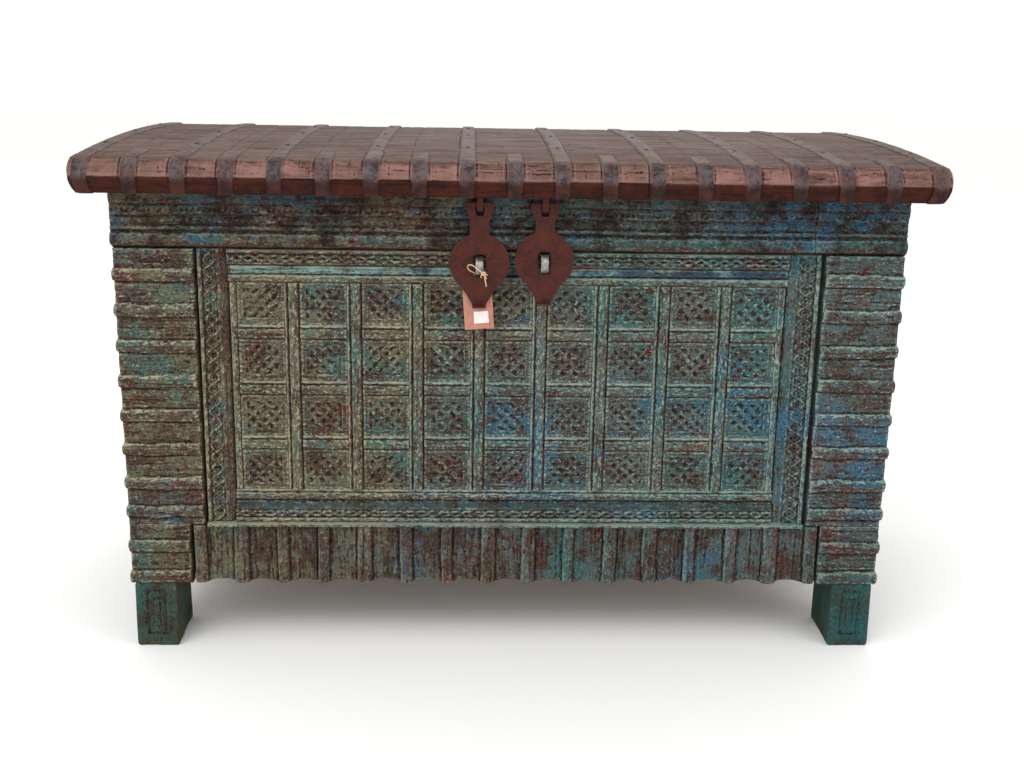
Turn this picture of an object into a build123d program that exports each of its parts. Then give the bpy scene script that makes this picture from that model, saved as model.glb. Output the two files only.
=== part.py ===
"""Carved wooden dowry chest: four posts, planked walls, a coffered front and a low domed lid.

Millimetres, +Z up. The origin is on the floor, under the middle of the lid. The front faces -Y.
"""

import math
import os

from build123d import *

# ---- Driving dimensions ----------------------------------------------------------------------
WIDTH = 1300.0  # body, across the corner facings
DEPTH = 600.0  # body, front face to back face
RIM = 802.0  # height of the body without its lid
GAP = 1.0  # between the body's rim and the lid
PLAY = 0.4  # between pieces that move apart, and round fitted ironwork

FRONT = -DEPTH / 2
BACK = DEPTH / 2
SIDE = WIDTH / 2

POST_WIDTH, POST_DEPTH = 72.0, 114.0
FOOT_HEIGHT = 120.0
FOOT_INSET = 2.5  # the foot stands this far inside the facings' planes
FACING = 22.0  # thickness of the ribbed boards planted on the posts

PANEL = 18.0  # thickness of the wall planks
PANEL_FRONT = FRONT + FACING  # front face of the planks behind the carving
PANEL_BACK = PANEL_FRONT + PANEL
FLOOR_TOP = 190.0
FLOOR_THICK = 18.0

TOP_RAIL_LOW = 708.0
LEDGE_Z = 230.0
APRON_LOW = 123.0

BORDER_LEFT, BORDER_RIGHT = -515.0, 512.0
FIELD_LEFT, FIELD_RIGHT = -467.0, 459.0
FIELD_LOW, FIELD_HIGH = 269.0, 679.0
BAR_LOW, BAR_HIGH = 276.0, 663.5  # middles of the rows of bars below and above the squares
COLUMNS, ROWS = 9, 4
BAR = 26.0  # width of the bars between the carved squares
EDGE_BAR = BAR / 2  # width of the bars along the border

LID_SIDE = 698.0  # half the lid's length
LID_FRONT = 348.0  # half the lid's depth
LID_LOW = RIM + GAP
LID_RAIL = 26.0  # height of the lid's frame
LID_CREST = 868.0
LID_SHOULDER_Y, LID_SHOULDER_Z = 318.0, 858.5
LID_PLANK = 24.0
LID_FRAME_INNER = 270.0
STRAP, STRAP_THICK = 24.0, 3.0
STRAP_PITCH = 75.5
STRAP_ENDS = 9  # straps lie at this many pitches each side of the middle

HINGE_X = (-450.0, 0.0, 450.0)
HINGE_Y, HINGE_Z = BACK + 8.0, RIM - 8.0
PIN_R, KNUCKLE_R = 3.0, 6.0

IRON = 4.0  # thickness of a hasp's plate
HASP_Y = -314.0  # middle of the hasps' plates, and their hinge line
HASP_PIVOT_Z = 788.0
HASPS = {  # name: (x, disc centre z, disc radius, height of the slot's and staple's middle)
    "left": (-55.0, 693.0, 49.0, 689.0),
    "right": (50.5, 698.0, 48.5, 694.0),
}


# ---- Small helpers ---------------------------------------------------------------------------
def block(x, y, z):
    """A box between two values on each axis."""
    size = [abs(end - start) for start, end in (x, y, z)]
    return Pos(sum(x) / 2, sum(y) / 2, sum(z) / 2) * Box(*size)


def along_x(face_points, x0, x1):
    """A closed outline of (y, z) points, extruded from x0 to x1."""
    plane = Plane(origin=(x0, 0, 0), x_dir=(0, 1, 0), z_dir=(1, 0, 0))
    outline = Polyline(*face_points, close=True)
    return extrude(plane * make_face(outline), x1 - x0)


def rod_x(x0, x1, y, z, radius):
    """A round bar along X."""
    return Pos((x0 + x1) / 2, y, z) * Rot(0, 90, 0) * Cylinder(radius, abs(x1 - x0))


def rod_y(x, y0, y1, z, radius):
    """A round bar along Y."""
    return Pos(x, (y0 + y1) / 2, z) * Rot(90, 0, 0) * Cylinder(radius, abs(y1 - y0))


def half_round_x(x, face, z, height, proud):
    """A half-round rib along X on a front face at y=face, standing proud of it by `proud`."""
    steps = 6
    arc = [
        (face - proud * math.sin(math.pi * i / steps), z + height / 2 * math.cos(math.pi * i / steps))
        for i in range(steps + 1)
    ]
    return along_x(arc, *x)


def half_round_z(x, face, z, width, proud):
    """A half-round rib along Z on a front face at y=face."""
    steps = 6
    arc = [
        (x + width / 2 * math.cos(math.pi * i / steps), face - proud * math.sin(math.pi * i / steps))
        for i in range(steps + 1)
    ]
    outline = Polyline(*arc, close=True)
    return Pos(0, 0, z[0]) * extrude(make_face(outline), z[1] - z[0], dir=(0, 0, 1))


def group(pieces):
    """Separate solids that share one node."""
    return Compound(children=[solid for piece in pieces for solid in piece.solids()])


def mirror_x(shape):
    return shape.mirror(Plane.YZ)


def mirror_y(shape):
    return shape.mirror(Plane.XZ)


nodes = {}

# ---- Posts and feet ----------------------------------------------------------------------------
POST_X = (SIDE - FOOT_INSET - POST_WIDTH, SIDE - FOOT_INSET)
POST_Y = (BACK - FOOT_INSET - POST_DEPTH, BACK - FOOT_INSET)
SIDE_FACING = 14.0  # thickness of the ribbed boards on the side faces


def post(front):
    """The right-hand post: a full-size foot, and above it a shaft cut back for the facings."""
    foot = block(POST_X, POST_Y, (0, FOOT_HEIGHT))
    shaft_y = BACK - FACING if front else POST_Y[1]
    shaft = block((POST_X[0], SIDE - SIDE_FACING), (POST_Y[0], shaft_y), (FOOT_HEIGHT, RIM))
    return mirror_y(foot + shaft) if front else foot + shaft


for front, name in ((True, "front"), (False, "back")):
    nodes[f"post_{name}_right"] = post(front)
    nodes[f"post_{name}_left"] = mirror_x(post(front))

# ---- Ribbed facings on the posts ----------------------------------------------------------------
RIB_PITCH = 60.0
RIB_Z = [665.0 - i * RIB_PITCH for i in range(7)] + [253.0, 190.0, 133.0]
RIB_HEIGHT, RIB_PROUD = 23.0, 6.0
FACING_INNER, FACING_INNER_LOW = 519.0, 545.0


def pilaster():
    """The right front facing: a board with ribs across it, narrower beside the apron."""
    upper = block((FACING_INNER, SIDE), (FRONT, PANEL_FRONT), (LEDGE_Z, TOP_RAIL_LOW))
    lower = block((FACING_INNER_LOW, SIDE), (FRONT, PANEL_FRONT), (FOOT_HEIGHT, LEDGE_Z))
    board = upper + lower
    for z in RIB_Z:
        inner = FACING_INNER if z > LEDGE_Z else FACING_INNER_LOW
        board += half_round_x((inner, SIDE + RIB_PROUD / 2), FRONT, z, RIB_HEIGHT, RIB_PROUD)
    return board


def side_facing(front):
    """A ribbed board on the right side face of a post."""
    y_low = BACK - FACING if front else BACK - FOOT_INSET
    board = block((SIDE - SIDE_FACING, SIDE), (POST_Y[0], y_low), (FOOT_HEIGHT, RIM))
    for z in RIB_Z:
        rib = half_round_x((POST_Y[0], y_low), -SIDE, z, RIB_HEIGHT, RIB_PROUD / 2)
        board += rib.rotate(Axis.Z, 90)
    return mirror_y(board) if front else board


nodes["pilaster_right"] = pilaster()
nodes["pilaster_left"] = mirror_x(pilaster())
for front, name in ((True, "front"), (False, "back")):
    right = side_facing(front)
    nodes[f"side_facings_{name}"] = group([right, mirror_x(right)])

# ---- Front wall: planks, top rail, border, squares, ledge and apron ----------------------------------
PANEL_SIDE = POST_X[0]
WALL_LOW = APRON_LOW + 5.0
SEAM = 0.6  # gap between two planks of a wall
FRONT_PLANKS = SIDE_PLANKS = 4
BACK_PLANKS = 5


def planks(x, y, count):
    """A wall of equal planks laid one on the other."""
    height = (RIM - WALL_LOW) / count
    return [block(x, y, (WALL_LOW + i * height, WALL_LOW + (i + 1) * height - SEAM)) for i in range(count)]


STAPLE_WIDTH, STAPLE_THICK, STAPLE_HEIGHT = 12.0, 3.0, 27.0


def leg_holes():
    """The holes through the front for the staples' legs."""
    holes = []
    for x, _, _, z in HASPS.values():
        for side in (-1, 1):
            leg = z + side * (STAPLE_HEIGHT - STAPLE_THICK) / 2
            half_x, half_z = STAPLE_WIDTH / 2 + PLAY, STAPLE_THICK / 2 + PLAY
            through = (FRONT - 10, PANEL_BACK + 1)
            holes.append(block((x - half_x, x + half_x), through, (leg - half_z, leg + half_z)))
    return holes


def cut(shape, tools):
    for tool in tools:
        shape = shape - tool
    return shape


front_planks = planks((-PANEL_SIDE, PANEL_SIDE), (PANEL_FRONT, PANEL_BACK), FRONT_PLANKS)
front_planks[-1] = cut(front_planks[-1], leg_holes())
nodes["front_planks"] = group(front_planks)

RAIL_JOINT = 497.0  # the top rail is made of two lengths that meet here


def top_rail(x0, x1):
    """Moulded rail across the top of the front: (y out from the face, z) outline."""
    outline = [
        (PANEL_FRONT, TOP_RAIL_LOW),
        (FRONT + 7, TOP_RAIL_LOW),
        (FRONT + 2, 712),
        (FRONT - 4, 715),
        (FRONT - 7, 723.5),
        (FRONT - 4, 732),
        (FRONT + 1, 735.5),
        (FRONT + 1, 738),
        (FRONT - 2, 741.5),
        (FRONT + 1, 745),
        (FRONT + 1, 762),
        (FRONT - 1, 765),
        (FRONT - 1, 780),
        (FRONT - 3, 783),
        (FRONT - 3, RIM),
        (PANEL_FRONT, RIM),
    ]
    return along_x(outline, x0, x1)


nodes["front_top_rail"] = top_rail(-SIDE, RAIL_JOINT)
nodes["front_top_rail_end"] = top_rail(RAIL_JOINT + PLAY, SIDE)

BORDER_FACE = FRONT + 6
BEAD = 3.0


def border_stile(x0, x1, carved_side):
    """An upright of the border: a flat carved band with a bead, and a bevel towards the squares."""
    low, high = LEDGE_Z + 3, TOP_RAIL_LOW
    bevel = 16.0
    inner, outer = (x1, x0) if carved_side < 0 else (x0, x1)
    step = -carved_side * bevel
    outline = Polyline(
        (outer, PANEL_FRONT),
        (outer, BORDER_FACE),
        (inner - step, BORDER_FACE),
        (inner, BORDER_FACE + 8),
        (inner, PANEL_FRONT),
        close=True,
    )
    stile = Pos(0, 0, low) * extrude(make_face(outline), high - low, dir=(0, 0, 1))
    bead_x = outer - carved_side * 4
    return stile + half_round_z(bead_x, BORDER_FACE, (low, high), 6, BEAD)


def border_rail(z0, z1, upper):
    """A cross piece of the border, between the two uprights."""
    bevel = 14.0
    if upper:
        outline = [
            (PANEL_FRONT, z1),
            (BORDER_FACE, z1),
            (BORDER_FACE, z0 + bevel),
            (BORDER_FACE + 8, z0),
            (PANEL_FRONT, z0),
        ]
    else:
        outline = [
            (PANEL_FRONT, z0),
            (BORDER_FACE, z0),
            (BORDER_FACE, z1 - bevel),
            (BORDER_FACE + 8, z1),
            (PANEL_FRONT, z1),
        ]
    return along_x(outline, FIELD_LEFT, FIELD_RIGHT)


nodes["border_left"] = border_stile(BORDER_LEFT, FIELD_LEFT, -1)
nodes["border_right"] = border_stile(FIELD_RIGHT, BORDER_RIGHT, 1)
nodes["border_top"] = cut(border_rail(FIELD_HIGH, TOP_RAIL_LOW, True), leg_holes())
nodes["border_bottom"] = border_rail(LEDGE_Z + 3, FIELD_LOW, False)

COLUMN = (FIELD_RIGHT - FIELD_LEFT) / COLUMNS
ROW = (BAR_HIGH - BAR_LOW) / ROWS
STILE_PROUD, RAIL_PROUD, EDGE_PROUD = 12.0, 10.0, 8.0
SQUARE_W, SQUARE_H = COLUMN - BAR, ROW - BAR
SQUARE_THICK = 5.0
SQUARE_MARGIN, TRAY_DEPTH = 8.0, 2.0
LATTICE_LONG, LATTICE_WIDE = 70.0, 6.0


def bar_x(i):
    return FIELD_LEFT + i * COLUMN


def bar_z(i):
    return BAR_LOW + i * ROW


def carved_square(x, z):
    """A square panel with a sunk middle and two crossed bars."""
    half_w, half_h = SQUARE_W / 2, SQUARE_H / 2
    face = PANEL_FRONT - SQUARE_THICK
    square = block((x - half_w, x + half_w), (face, PANEL_FRONT), (z - half_h, z + half_h))
    tray_w, tray_h = half_w - SQUARE_MARGIN, half_h - SQUARE_MARGIN
    square -= block((x - tray_w, x + tray_w), (face, face + TRAY_DEPTH), (z - tray_h, z + tray_h))
    for angle in (-45, 45):
        crossed = Box(LATTICE_LONG, TRAY_DEPTH, LATTICE_WIDE)
        square += Pos(x, face + TRAY_DEPTH / 2, z) * Rot(0, angle, 0) * crossed
    return square


stile_z = (BAR_LOW + BAR / 2, BAR_HIGH - BAR / 2)
field_stiles = [half_round_z(bar_x(i), PANEL_FRONT, stile_z, BAR, STILE_PROUD) for i in range(1, COLUMNS)]
for x in (FIELD_LEFT + EDGE_BAR / 2, FIELD_RIGHT - EDGE_BAR / 2):
    field_stiles.append(half_round_z(x, PANEL_FRONT, stile_z, EDGE_BAR, EDGE_PROUD))
field_rails, squares = [], []
for low, high in ((FIELD_LOW, stile_z[0]), (stile_z[1], FIELD_HIGH)):  # whole bars along the bottom and the top
    whole = (FIELD_LEFT, FIELD_RIGHT)
    field_rails.append(half_round_x(whole, PANEL_FRONT, (low + high) / 2, high - low, RAIL_PROUD))
for column in range(COLUMNS):
    x_low = bar_x(column) + BAR / 2
    x_high = bar_x(column + 1) - BAR / 2
    for row in range(1, ROWS):
        field_rails.append(half_round_x((x_low, x_high), PANEL_FRONT, bar_z(row), BAR, RAIL_PROUD))
    for row in range(ROWS):
        squares.append(carved_square((x_low + x_high) / 2, (bar_z(row) + bar_z(row + 1)) / 2))
field_stiles = [cut(bar, leg_holes()) for bar in field_stiles]
field_rails = [cut(bar, leg_holes()) for bar in field_rails]
nodes["field_stiles"] = group(field_stiles)
nodes["field_rails"] = group(field_rails)
nodes["carved_squares"] = group(squares)

LEDGE_PROUD = 6.0
nodes["front_ledge"] = along_x(
    [
        (PANEL_FRONT, LEDGE_Z - 3),
        (FRONT - LEDGE_PROUD + 2, LEDGE_Z - 3),
        (FRONT - LEDGE_PROUD, LEDGE_Z),
        (FRONT - LEDGE_PROUD + 2, LEDGE_Z + 3),
        (PANEL_FRONT, LEDGE_Z + 3),
    ],
    BORDER_LEFT,
    BORDER_RIGHT,
)

APRON_SIDE = 542.0
APRON_RIBS = 16
APRON_FACE = FRONT + 7
APRON_RIB, APRON_RIB_PROUD = 23.0, 8.0


def apron():
    """Apron board: upright ribs, and a lower edge scalloped a little between them."""
    pitch = 2 * (APRON_SIDE - APRON_RIB / 2) / (APRON_RIBS - 1)
    board = block((-APRON_SIDE, APRON_SIDE), (APRON_FACE, PANEL_FRONT), (APRON_LOW - 3, LEDGE_Z - 3))
    for i in range(APRON_RIBS):
        x = -APRON_SIDE + APRON_RIB / 2 + i * pitch
        board += half_round_z(x, APRON_FACE, (APRON_LOW - 3, LEDGE_Z - 3), APRON_RIB, APRON_RIB_PROUD)
        if i < APRON_RIBS - 1:
            scallop = rod_y(x + pitch / 2, APRON_FACE - 9, PANEL_FRONT + 1, APRON_LOW - 3 - 44, 50)
            board -= scallop
    return board


nodes["front_apron"] = apron()

# ---- Bottom rails, floor, side walls and back ---------------------------------------------------------
RAIL_THICK = 34.0
RAIL_Z = (WALL_LOW, FLOOR_TOP - FLOOR_THICK)
SIDE_PLANK_OUT = SIDE - 10.0
SIDE_PLANK_IN = SIDE_PLANK_OUT - PANEL
BACK_OUT = BACK - 4.0
BACK_IN = BACK_OUT - PANEL

front_rail = block((-PANEL_SIDE, PANEL_SIDE), (PANEL_BACK, PANEL_BACK + RAIL_THICK), RAIL_Z)
back_rail = block((-PANEL_SIDE, PANEL_SIDE), (BACK_IN - RAIL_THICK, BACK_IN), RAIL_Z)
side_rail = block((SIDE_PLANK_IN - RAIL_THICK, SIDE_PLANK_IN), (-POST_Y[0], POST_Y[0]), RAIL_Z)
nodes["bottom_rails"] = group([front_rail, back_rail, side_rail, mirror_x(side_rail)])

bearer_y = (PANEL_BACK + RAIL_THICK, BACK_IN - RAIL_THICK)
nodes["floor_bearers"] = group([block((x - 25, x + 25), bearer_y, RAIL_Z) for x in (-300.0, 0.0, 300.0)])

floor_z = (FLOOR_TOP - FLOOR_THICK, FLOOR_TOP)
floor_boards = [
    block((-PANEL_SIDE, PANEL_SIDE), (PANEL_BACK, -POST_Y[0] - PLAY), floor_z),
    block((-PANEL_SIDE, PANEL_SIDE), (POST_Y[0] + PLAY, BACK_IN), floor_z),
]
middle_boards = 3
board_width = 2 * POST_Y[0] / middle_boards
for i in range(middle_boards):
    low = -POST_Y[0] + i * board_width
    floor_boards.append(block((-SIDE_PLANK_IN, SIDE_PLANK_IN), (low, low + board_width - PLAY), floor_z))
nodes["floor_boards"] = group(floor_boards)


def side_moulding(z0, z1, proud):
    """A cross rail planted on the right side planks."""
    rail = block((SIDE_PLANK_OUT, SIDE_PLANK_OUT + proud), (-POST_Y[0], POST_Y[0]), (z0, z1))
    edges = rail.edges().filter_by(Axis.Y).group_by(Axis.X)[-1]
    return chamfer(edges, 3)


side_planks = planks((SIDE_PLANK_IN, SIDE_PLANK_OUT), (-POST_Y[0], POST_Y[0]), SIDE_PLANKS)
nodes["side_planks_right"] = group(side_planks)
nodes["side_planks_left"] = group([mirror_x(p) for p in side_planks])
side_rails = [side_moulding(TOP_RAIL_LOW, RIM, 9), side_moulding(APRON_LOW, LEDGE_Z, 9)]
nodes["side_rails"] = group(side_rails + [mirror_x(p) for p in side_rails])

nodes["back_planks"] = group(planks((-PANEL_SIDE, PANEL_SIDE), (BACK_IN, BACK_OUT), BACK_PLANKS))
inner_battens = [
    block((x - 30, x + 30), (BACK_IN - 16, BACK_IN), (FLOOR_TOP, RIM - 60)) for x in (-300.0, 300.0)
]
nodes["back_battens"] = group(inner_battens)


# ---- Lid ---------------------------------------------------------------------------------------------
CREST_DROP = LID_CREST - LID_SHOULDER_Z
DOME_R = (LID_SHOULDER_Y**2 + CREST_DROP**2) / (2 * CREST_DROP)
DOME_Z = LID_CREST - DOME_R
LID_LIP_Z = LID_LOW + LID_RAIL
LID_UNDERCUT = 4.0  # the frame's outer face slopes in by this much towards its lower edge


def dome(radius, y):
    """A point on the dome's curve of that radius."""
    return y, DOME_Z + math.sqrt(radius**2 - y**2)


def shoulder_circle():
    """Centre and radius of the arc from the lip that runs into the dome without a kink."""
    dx, dz = -LID_FRONT + LID_SHOULDER_Y, LID_LIP_Z - LID_SHOULDER_Z
    nx, nz = LID_SHOULDER_Y / DOME_R, (DOME_Z - LID_SHOULDER_Z) / DOME_R
    radius = (dx**2 + dz**2) / (2 * (dx * nx + dz * nz))
    return -LID_SHOULDER_Y + radius * nx, LID_SHOULDER_Z + radius * nz, radius


SHOULDER_Y, SHOULDER_Z, SHOULDER_R = shoulder_circle()


def front_edge(out):
    """Points of the lid's front half outline, moved out by `out`: foot, lip, mid arc, shoulder."""
    scale = (SHOULDER_R + out) / SHOULDER_R
    lip = (SHOULDER_Y + (-LID_FRONT - SHOULDER_Y) * scale, SHOULDER_Z + (LID_LIP_Z - SHOULDER_Z) * scale)
    shoulder = (
        SHOULDER_Y + (-LID_SHOULDER_Y - SHOULDER_Y) * scale,
        SHOULDER_Z + (LID_SHOULDER_Z - SHOULDER_Z) * scale,
    )
    a0 = math.atan2(lip[1] - SHOULDER_Z, lip[0] - SHOULDER_Y) % (2 * math.pi)
    a1 = math.atan2(shoulder[1] - SHOULDER_Z, shoulder[0] - SHOULDER_Y) % (2 * math.pi)
    mid_angle = (a0 + a1) / 2
    radius = SHOULDER_R + out
    middle = (SHOULDER_Y + radius * math.cos(mid_angle), SHOULDER_Z + radius * math.sin(mid_angle))
    foot = (-LID_FRONT + LID_UNDERCUT - out, LID_LOW)
    return foot, lip, middle, shoulder


def flip(point):
    return -point[0], point[1]


def lid_profile(out=0.0):
    """The lid's end face, `out` mm outside the wood."""
    foot, lip, middle, shoulder = front_edge(out)
    crest = (0, LID_CREST + out)
    edges = [
        Line(foot, lip),
        ThreePointArc(lip, middle, shoulder),
        ThreePointArc(shoulder, crest, flip(shoulder)),
        ThreePointArc(flip(shoulder), flip(middle), flip(lip)),
        Line(flip(lip), flip(foot)),
        Line(flip(foot), foot),
    ]
    return make_face(edges)


def strap_profile(last_y):
    """A strap's section from the front foot to last_y on the dome, or all round if last_y is None."""
    foot_i, lip_i, mid_i, sh_i = front_edge(0)
    foot_o, lip_o, mid_o, sh_o = front_edge(STRAP_THICK)
    inner = [Line(foot_i, lip_i), ThreePointArc(lip_i, mid_i, sh_i)]
    outer = [Line(foot_o, lip_o), ThreePointArc(lip_o, mid_o, sh_o)]
    crest_i, crest_o = (0, LID_CREST), (0, LID_CREST + STRAP_THICK)
    if last_y is None:
        inner.append(ThreePointArc(sh_i, crest_i, flip(sh_i)))
        inner += [ThreePointArc(flip(sh_i), flip(mid_i), flip(lip_i)), Line(flip(lip_i), flip(foot_i))]
        outer.append(ThreePointArc(sh_o, crest_o, flip(sh_o)))
        outer += [ThreePointArc(flip(sh_o), flip(mid_o), flip(lip_o)), Line(flip(lip_o), flip(foot_o))]
        end_i, end_o = flip(foot_i), flip(foot_o)
    else:
        end_i, end_o = dome(DOME_R, last_y), dome(DOME_R + STRAP_THICK, last_y)
        half = (last_y - LID_SHOULDER_Y) / 2
        inner.append(ThreePointArc(sh_i, dome(DOME_R, half), end_i))
        outer.append(ThreePointArc(sh_o, dome(DOME_R + STRAP_THICK, half), end_o))
    return make_face(inner + outer + [Line(foot_i, foot_o), Line(end_i, end_o)])


def lid_solid(face, x0, x1):
    """An (y, z) face of the lid, extruded from x0 to x1."""
    plane = Plane(origin=(x0, 0, 0), x_dir=(0, 1, 0), z_dir=(1, 0, 0))
    return extrude(plane * face, x1 - x0)


def dome_band(top_r, bottom_r, y0, y1, x0, x1):
    """A curved board between two radii of the dome."""
    middle = (y0 + y1) / 2
    edges = [
        ThreePointArc(dome(top_r, y0), dome(top_r, middle), dome(top_r, y1)),
        Line(dome(top_r, y1), dome(bottom_r, y1)),
        ThreePointArc(dome(bottom_r, y1), dome(bottom_r, middle), dome(bottom_r, y0)),
        Line(dome(bottom_r, y0), dome(top_r, y0)),
    ]
    return lid_solid(make_face(edges), x0, x1)


EDGE_PLANK = 116.0  # depth of the front and back planks
UNDER_R = DOME_R - LID_PLANK
inner_edge = LID_FRONT - EDGE_PLANK


def edge_plank():
    """The front plank: rounded outer edge, thick over the frame, thin towards the middle."""
    whole = lid_solid(lid_profile(), -LID_SIDE, LID_SIDE)
    keep = block((-LID_SIDE, LID_SIDE), (-LID_FRONT - 1, -inner_edge), (LID_LIP_Z, LID_CREST + 1))
    plank = whole & keep
    under_z = dome(UNDER_R, inner_edge)[1]
    hollow = along_x(
        [
            (-LID_FRAME_INNER, LID_LIP_Z - 1),
            (-LID_FRAME_INNER, dome(UNDER_R, LID_FRAME_INNER)[1]),
            (-inner_edge + 1, under_z),
            (-inner_edge + 1, LID_LIP_Z - 1),
        ],
        -LID_SIDE - 1,
        LID_SIDE + 1,
    )
    return plank - hollow


nodes["lid_front_plank"] = edge_plank()
nodes["lid_back_plank"] = mirror_y(edge_plank())
MIDDLE_PLANKS = 3
plank_depth = 2 * inner_edge / MIDDLE_PLANKS
middle_planks = []
for i in range(MIDDLE_PLANKS):
    y_low = -inner_edge + i * plank_depth + SEAM
    y_high = -inner_edge + (i + 1) * plank_depth - SEAM
    middle_planks.append(dome_band(DOME_R, UNDER_R, y_low, y_high, -LID_SIDE, LID_SIDE))
nodes["lid_middle_planks"] = group(middle_planks)

lip = front_edge(0)[1]
foot = front_edge(0)[0]
lid_rail = along_x(
    [foot, lip, (-LID_FRAME_INNER, LID_LIP_Z), (-LID_FRAME_INNER, LID_LOW)],
    -LID_SIDE,
    LID_SIDE,
)
nodes["lid_front_rail"] = lid_rail
nodes["lid_back_rail"] = mirror_y(lid_rail)

END_RAIL, END_BOARD = 76.0, 24.0


def lid_end():
    """The right end: a flat rail on the rim and a board up to the planks."""
    inside = LID_FRAME_INNER - PLAY
    rail = block((LID_SIDE - END_RAIL, LID_SIDE), (-inside, inside), (LID_LOW, LID_LIP_Z))
    board = dome_band(UNDER_R - 0.3, UNDER_R - 60, -inside, inside, LID_SIDE - END_BOARD, LID_SIDE)
    board = board & block((0, LID_SIDE + 1), (-inside, inside), (LID_LIP_Z - 0.01, LID_CREST))
    return rail + board


nodes["lid_end_right"] = lid_end()
nodes["lid_end_left"] = mirror_x(lid_end())
BATTEN_THICK = 16.0
nodes["lid_battens"] = group(
    [
        dome_band(UNDER_R - 0.3, UNDER_R - BATTEN_THICK, -inner_edge + 4, inner_edge - 4, x - 30, x + 30)
        for x in (-400.0, 0.0, 400.0)
    ]
)

SHORT_STRAP_Y = -258.0
long_straps = [k * STRAP_PITCH for k in range(-STRAP_ENDS, STRAP_ENDS + 1, 2)]
short_straps = [k * STRAP_PITCH for k in range(-STRAP_ENDS + 1, STRAP_ENDS, 2)]
for number, x in enumerate(long_straps, 1):
    nodes[f"lid_strap_{number:02d}"] = lid_solid(strap_profile(None), x - STRAP / 2, x + STRAP / 2)
nodes["lid_edge_straps"] = group(
    [lid_solid(strap_profile(SHORT_STRAP_Y), x - STRAP / 2, x + STRAP / 2) for x in short_straps]
)

NAIL_R, NAIL_HEIGHT = 3.8, 1.6


def nail(radius=NAIL_R, height=NAIL_HEIGHT):
    """A low domed nail head, flat side down on z=0."""
    head = Cylinder(radius, height, align=(Align.CENTER, Align.CENTER, Align.MIN))
    return fillet(head.edges().group_by(Axis.Z)[-1], height * 0.8)


lid_nails = []
strap_top = DOME_R + STRAP_THICK
for x in long_straps:
    for y in (-190.0, 0.0, 190.0):
        y_top, z_top = dome(strap_top, y)
        tilt = math.degrees(math.asin(y / strap_top))
        lid_nails.append(Pos(x, y_top, z_top) * Rot(-tilt, 0, 0) * nail())

# ---- Lid hinges ------------------------------------------------------------------------------------------
LEAF = 60.0
KNUCKLES = 3
KNUCKLE_GAP = 0.5
LEAF_THICK = 2.5


def hinge(x):
    """Body leaf with the two outer knuckles, lid leaf with the middle one, and the pin."""
    step = LEAF / KNUCKLES
    bore = rod_x(x - LEAF, x + LEAF, HINGE_Y, HINGE_Z, PIN_R)
    half = step / 2 + KNUCKLE_GAP / 2
    plate_y = (BACK_OUT, BACK_OUT + LEAF_THICK)
    body = block((x - LEAF / 2, x + LEAF / 2), plate_y, (HINGE_Z - 76, HINGE_Z - 12))
    lid = block(
        (x - LEAF / 2, x + LEAF / 2),
        (HINGE_Y + KNUCKLE_R + 2, LID_FRONT - LID_UNDERCUT - 4),
        (LID_LOW - LEAF_THICK, LID_LOW),
    )
    for side in (-1, 1):
        ends = sorted((x + side * half, x + side * LEAF / 2))
        web = block(ends, (BACK_OUT, HINGE_Y), (HINGE_Z - 14, HINGE_Z))
        body += web + rod_x(*ends, HINGE_Y, HINGE_Z, KNUCKLE_R)
    middle = (x - half + KNUCKLE_GAP, x + half - KNUCKLE_GAP)
    lid += block(middle, (HINGE_Y, HINGE_Y + KNUCKLE_R + 3), (HINGE_Z, LID_LOW))
    lid += rod_x(*middle, HINGE_Y, HINGE_Z, KNUCKLE_R)
    pin = rod_x(x - LEAF / 2, x + LEAF / 2, HINGE_Y, HINGE_Z, PIN_R - 0.05)
    for side in (-1, 1):
        end = x + side * LEAF / 2
        pin += rod_x(*sorted((end, end + side * 2)), HINGE_Y, HINGE_Z, PIN_R + 1.5)
    return body - bore, lid - bore, pin


hinges = [hinge(x) for x in HINGE_X]
nodes["hinge_body_leaves"] = group([h[0] for h in hinges])
nodes["hinge_lid_leaves"] = group([h[1] for h in hinges])
nodes["hinge_pins"] = group([h[2] for h in hinges])

# ---- Nails ---------------------------------------------------------------------------------------------
wall_nails = []
for x in HINGE_X:
    for dx in (-18.0, 18.0):
        leaf_y = (HINGE_Y + KNUCKLE_R + 2 + LID_FRONT - LID_UNDERCUT - 4) / 2
        lid_nails.append(Pos(x + dx, leaf_y, LID_LOW - LEAF_THICK) * Rot(180, 0, 0) * nail(3.5, 1.5))
        for z in (HINGE_Z - 28, HINGE_Z - 58):
            wall_nails.append(Pos(x + dx, BACK_OUT + LEAF_THICK, z) * Rot(-90, 0, 0) * nail(3.5, 1.5))
back_plank = (RIM - WALL_LOW) / BACK_PLANKS
for i in range(BACK_PLANKS):
    for x in (-550.0, -300.0, 300.0, 550.0):
        for z in (WALL_LOW + i * back_plank + 30, WALL_LOW + (i + 1) * back_plank - 30):
            wall_nails.append(Pos(x, BACK_OUT, z) * Rot(-90, 0, 0) * nail())
nodes["wall_nails"] = group(wall_nails)
nodes["lid_nails"] = group(lid_nails)

# ---- Staples, hasps and the hangers that carry them ----------------------------------------------------
STAPLE_NOSE = 336.0  # how far out of the chest's middle plane a staple reaches
HANGER_WIDTH, HANGER_THICK = 10.0, 2.5
HANGER_LOOP = 12.6  # clear depth inside the hanger's loop
SLOT_WIDTH, SLOT_HEIGHT = 20.0, 36.0  # the slot in a hasp's disc


def bent_strip(points, radii, width, thick, x):
    """A flat strip along a planar (y, z) route, `width` across X, with rounded bends."""
    path = FilletPolyline(*[(x, y, z) for y, z in points], radius=radii)
    section = Plane(origin=path @ 0, x_dir=(1, 0, 0), z_dir=path % 0) * Rectangle(width, thick)
    return sweep(section, path=path)


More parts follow.
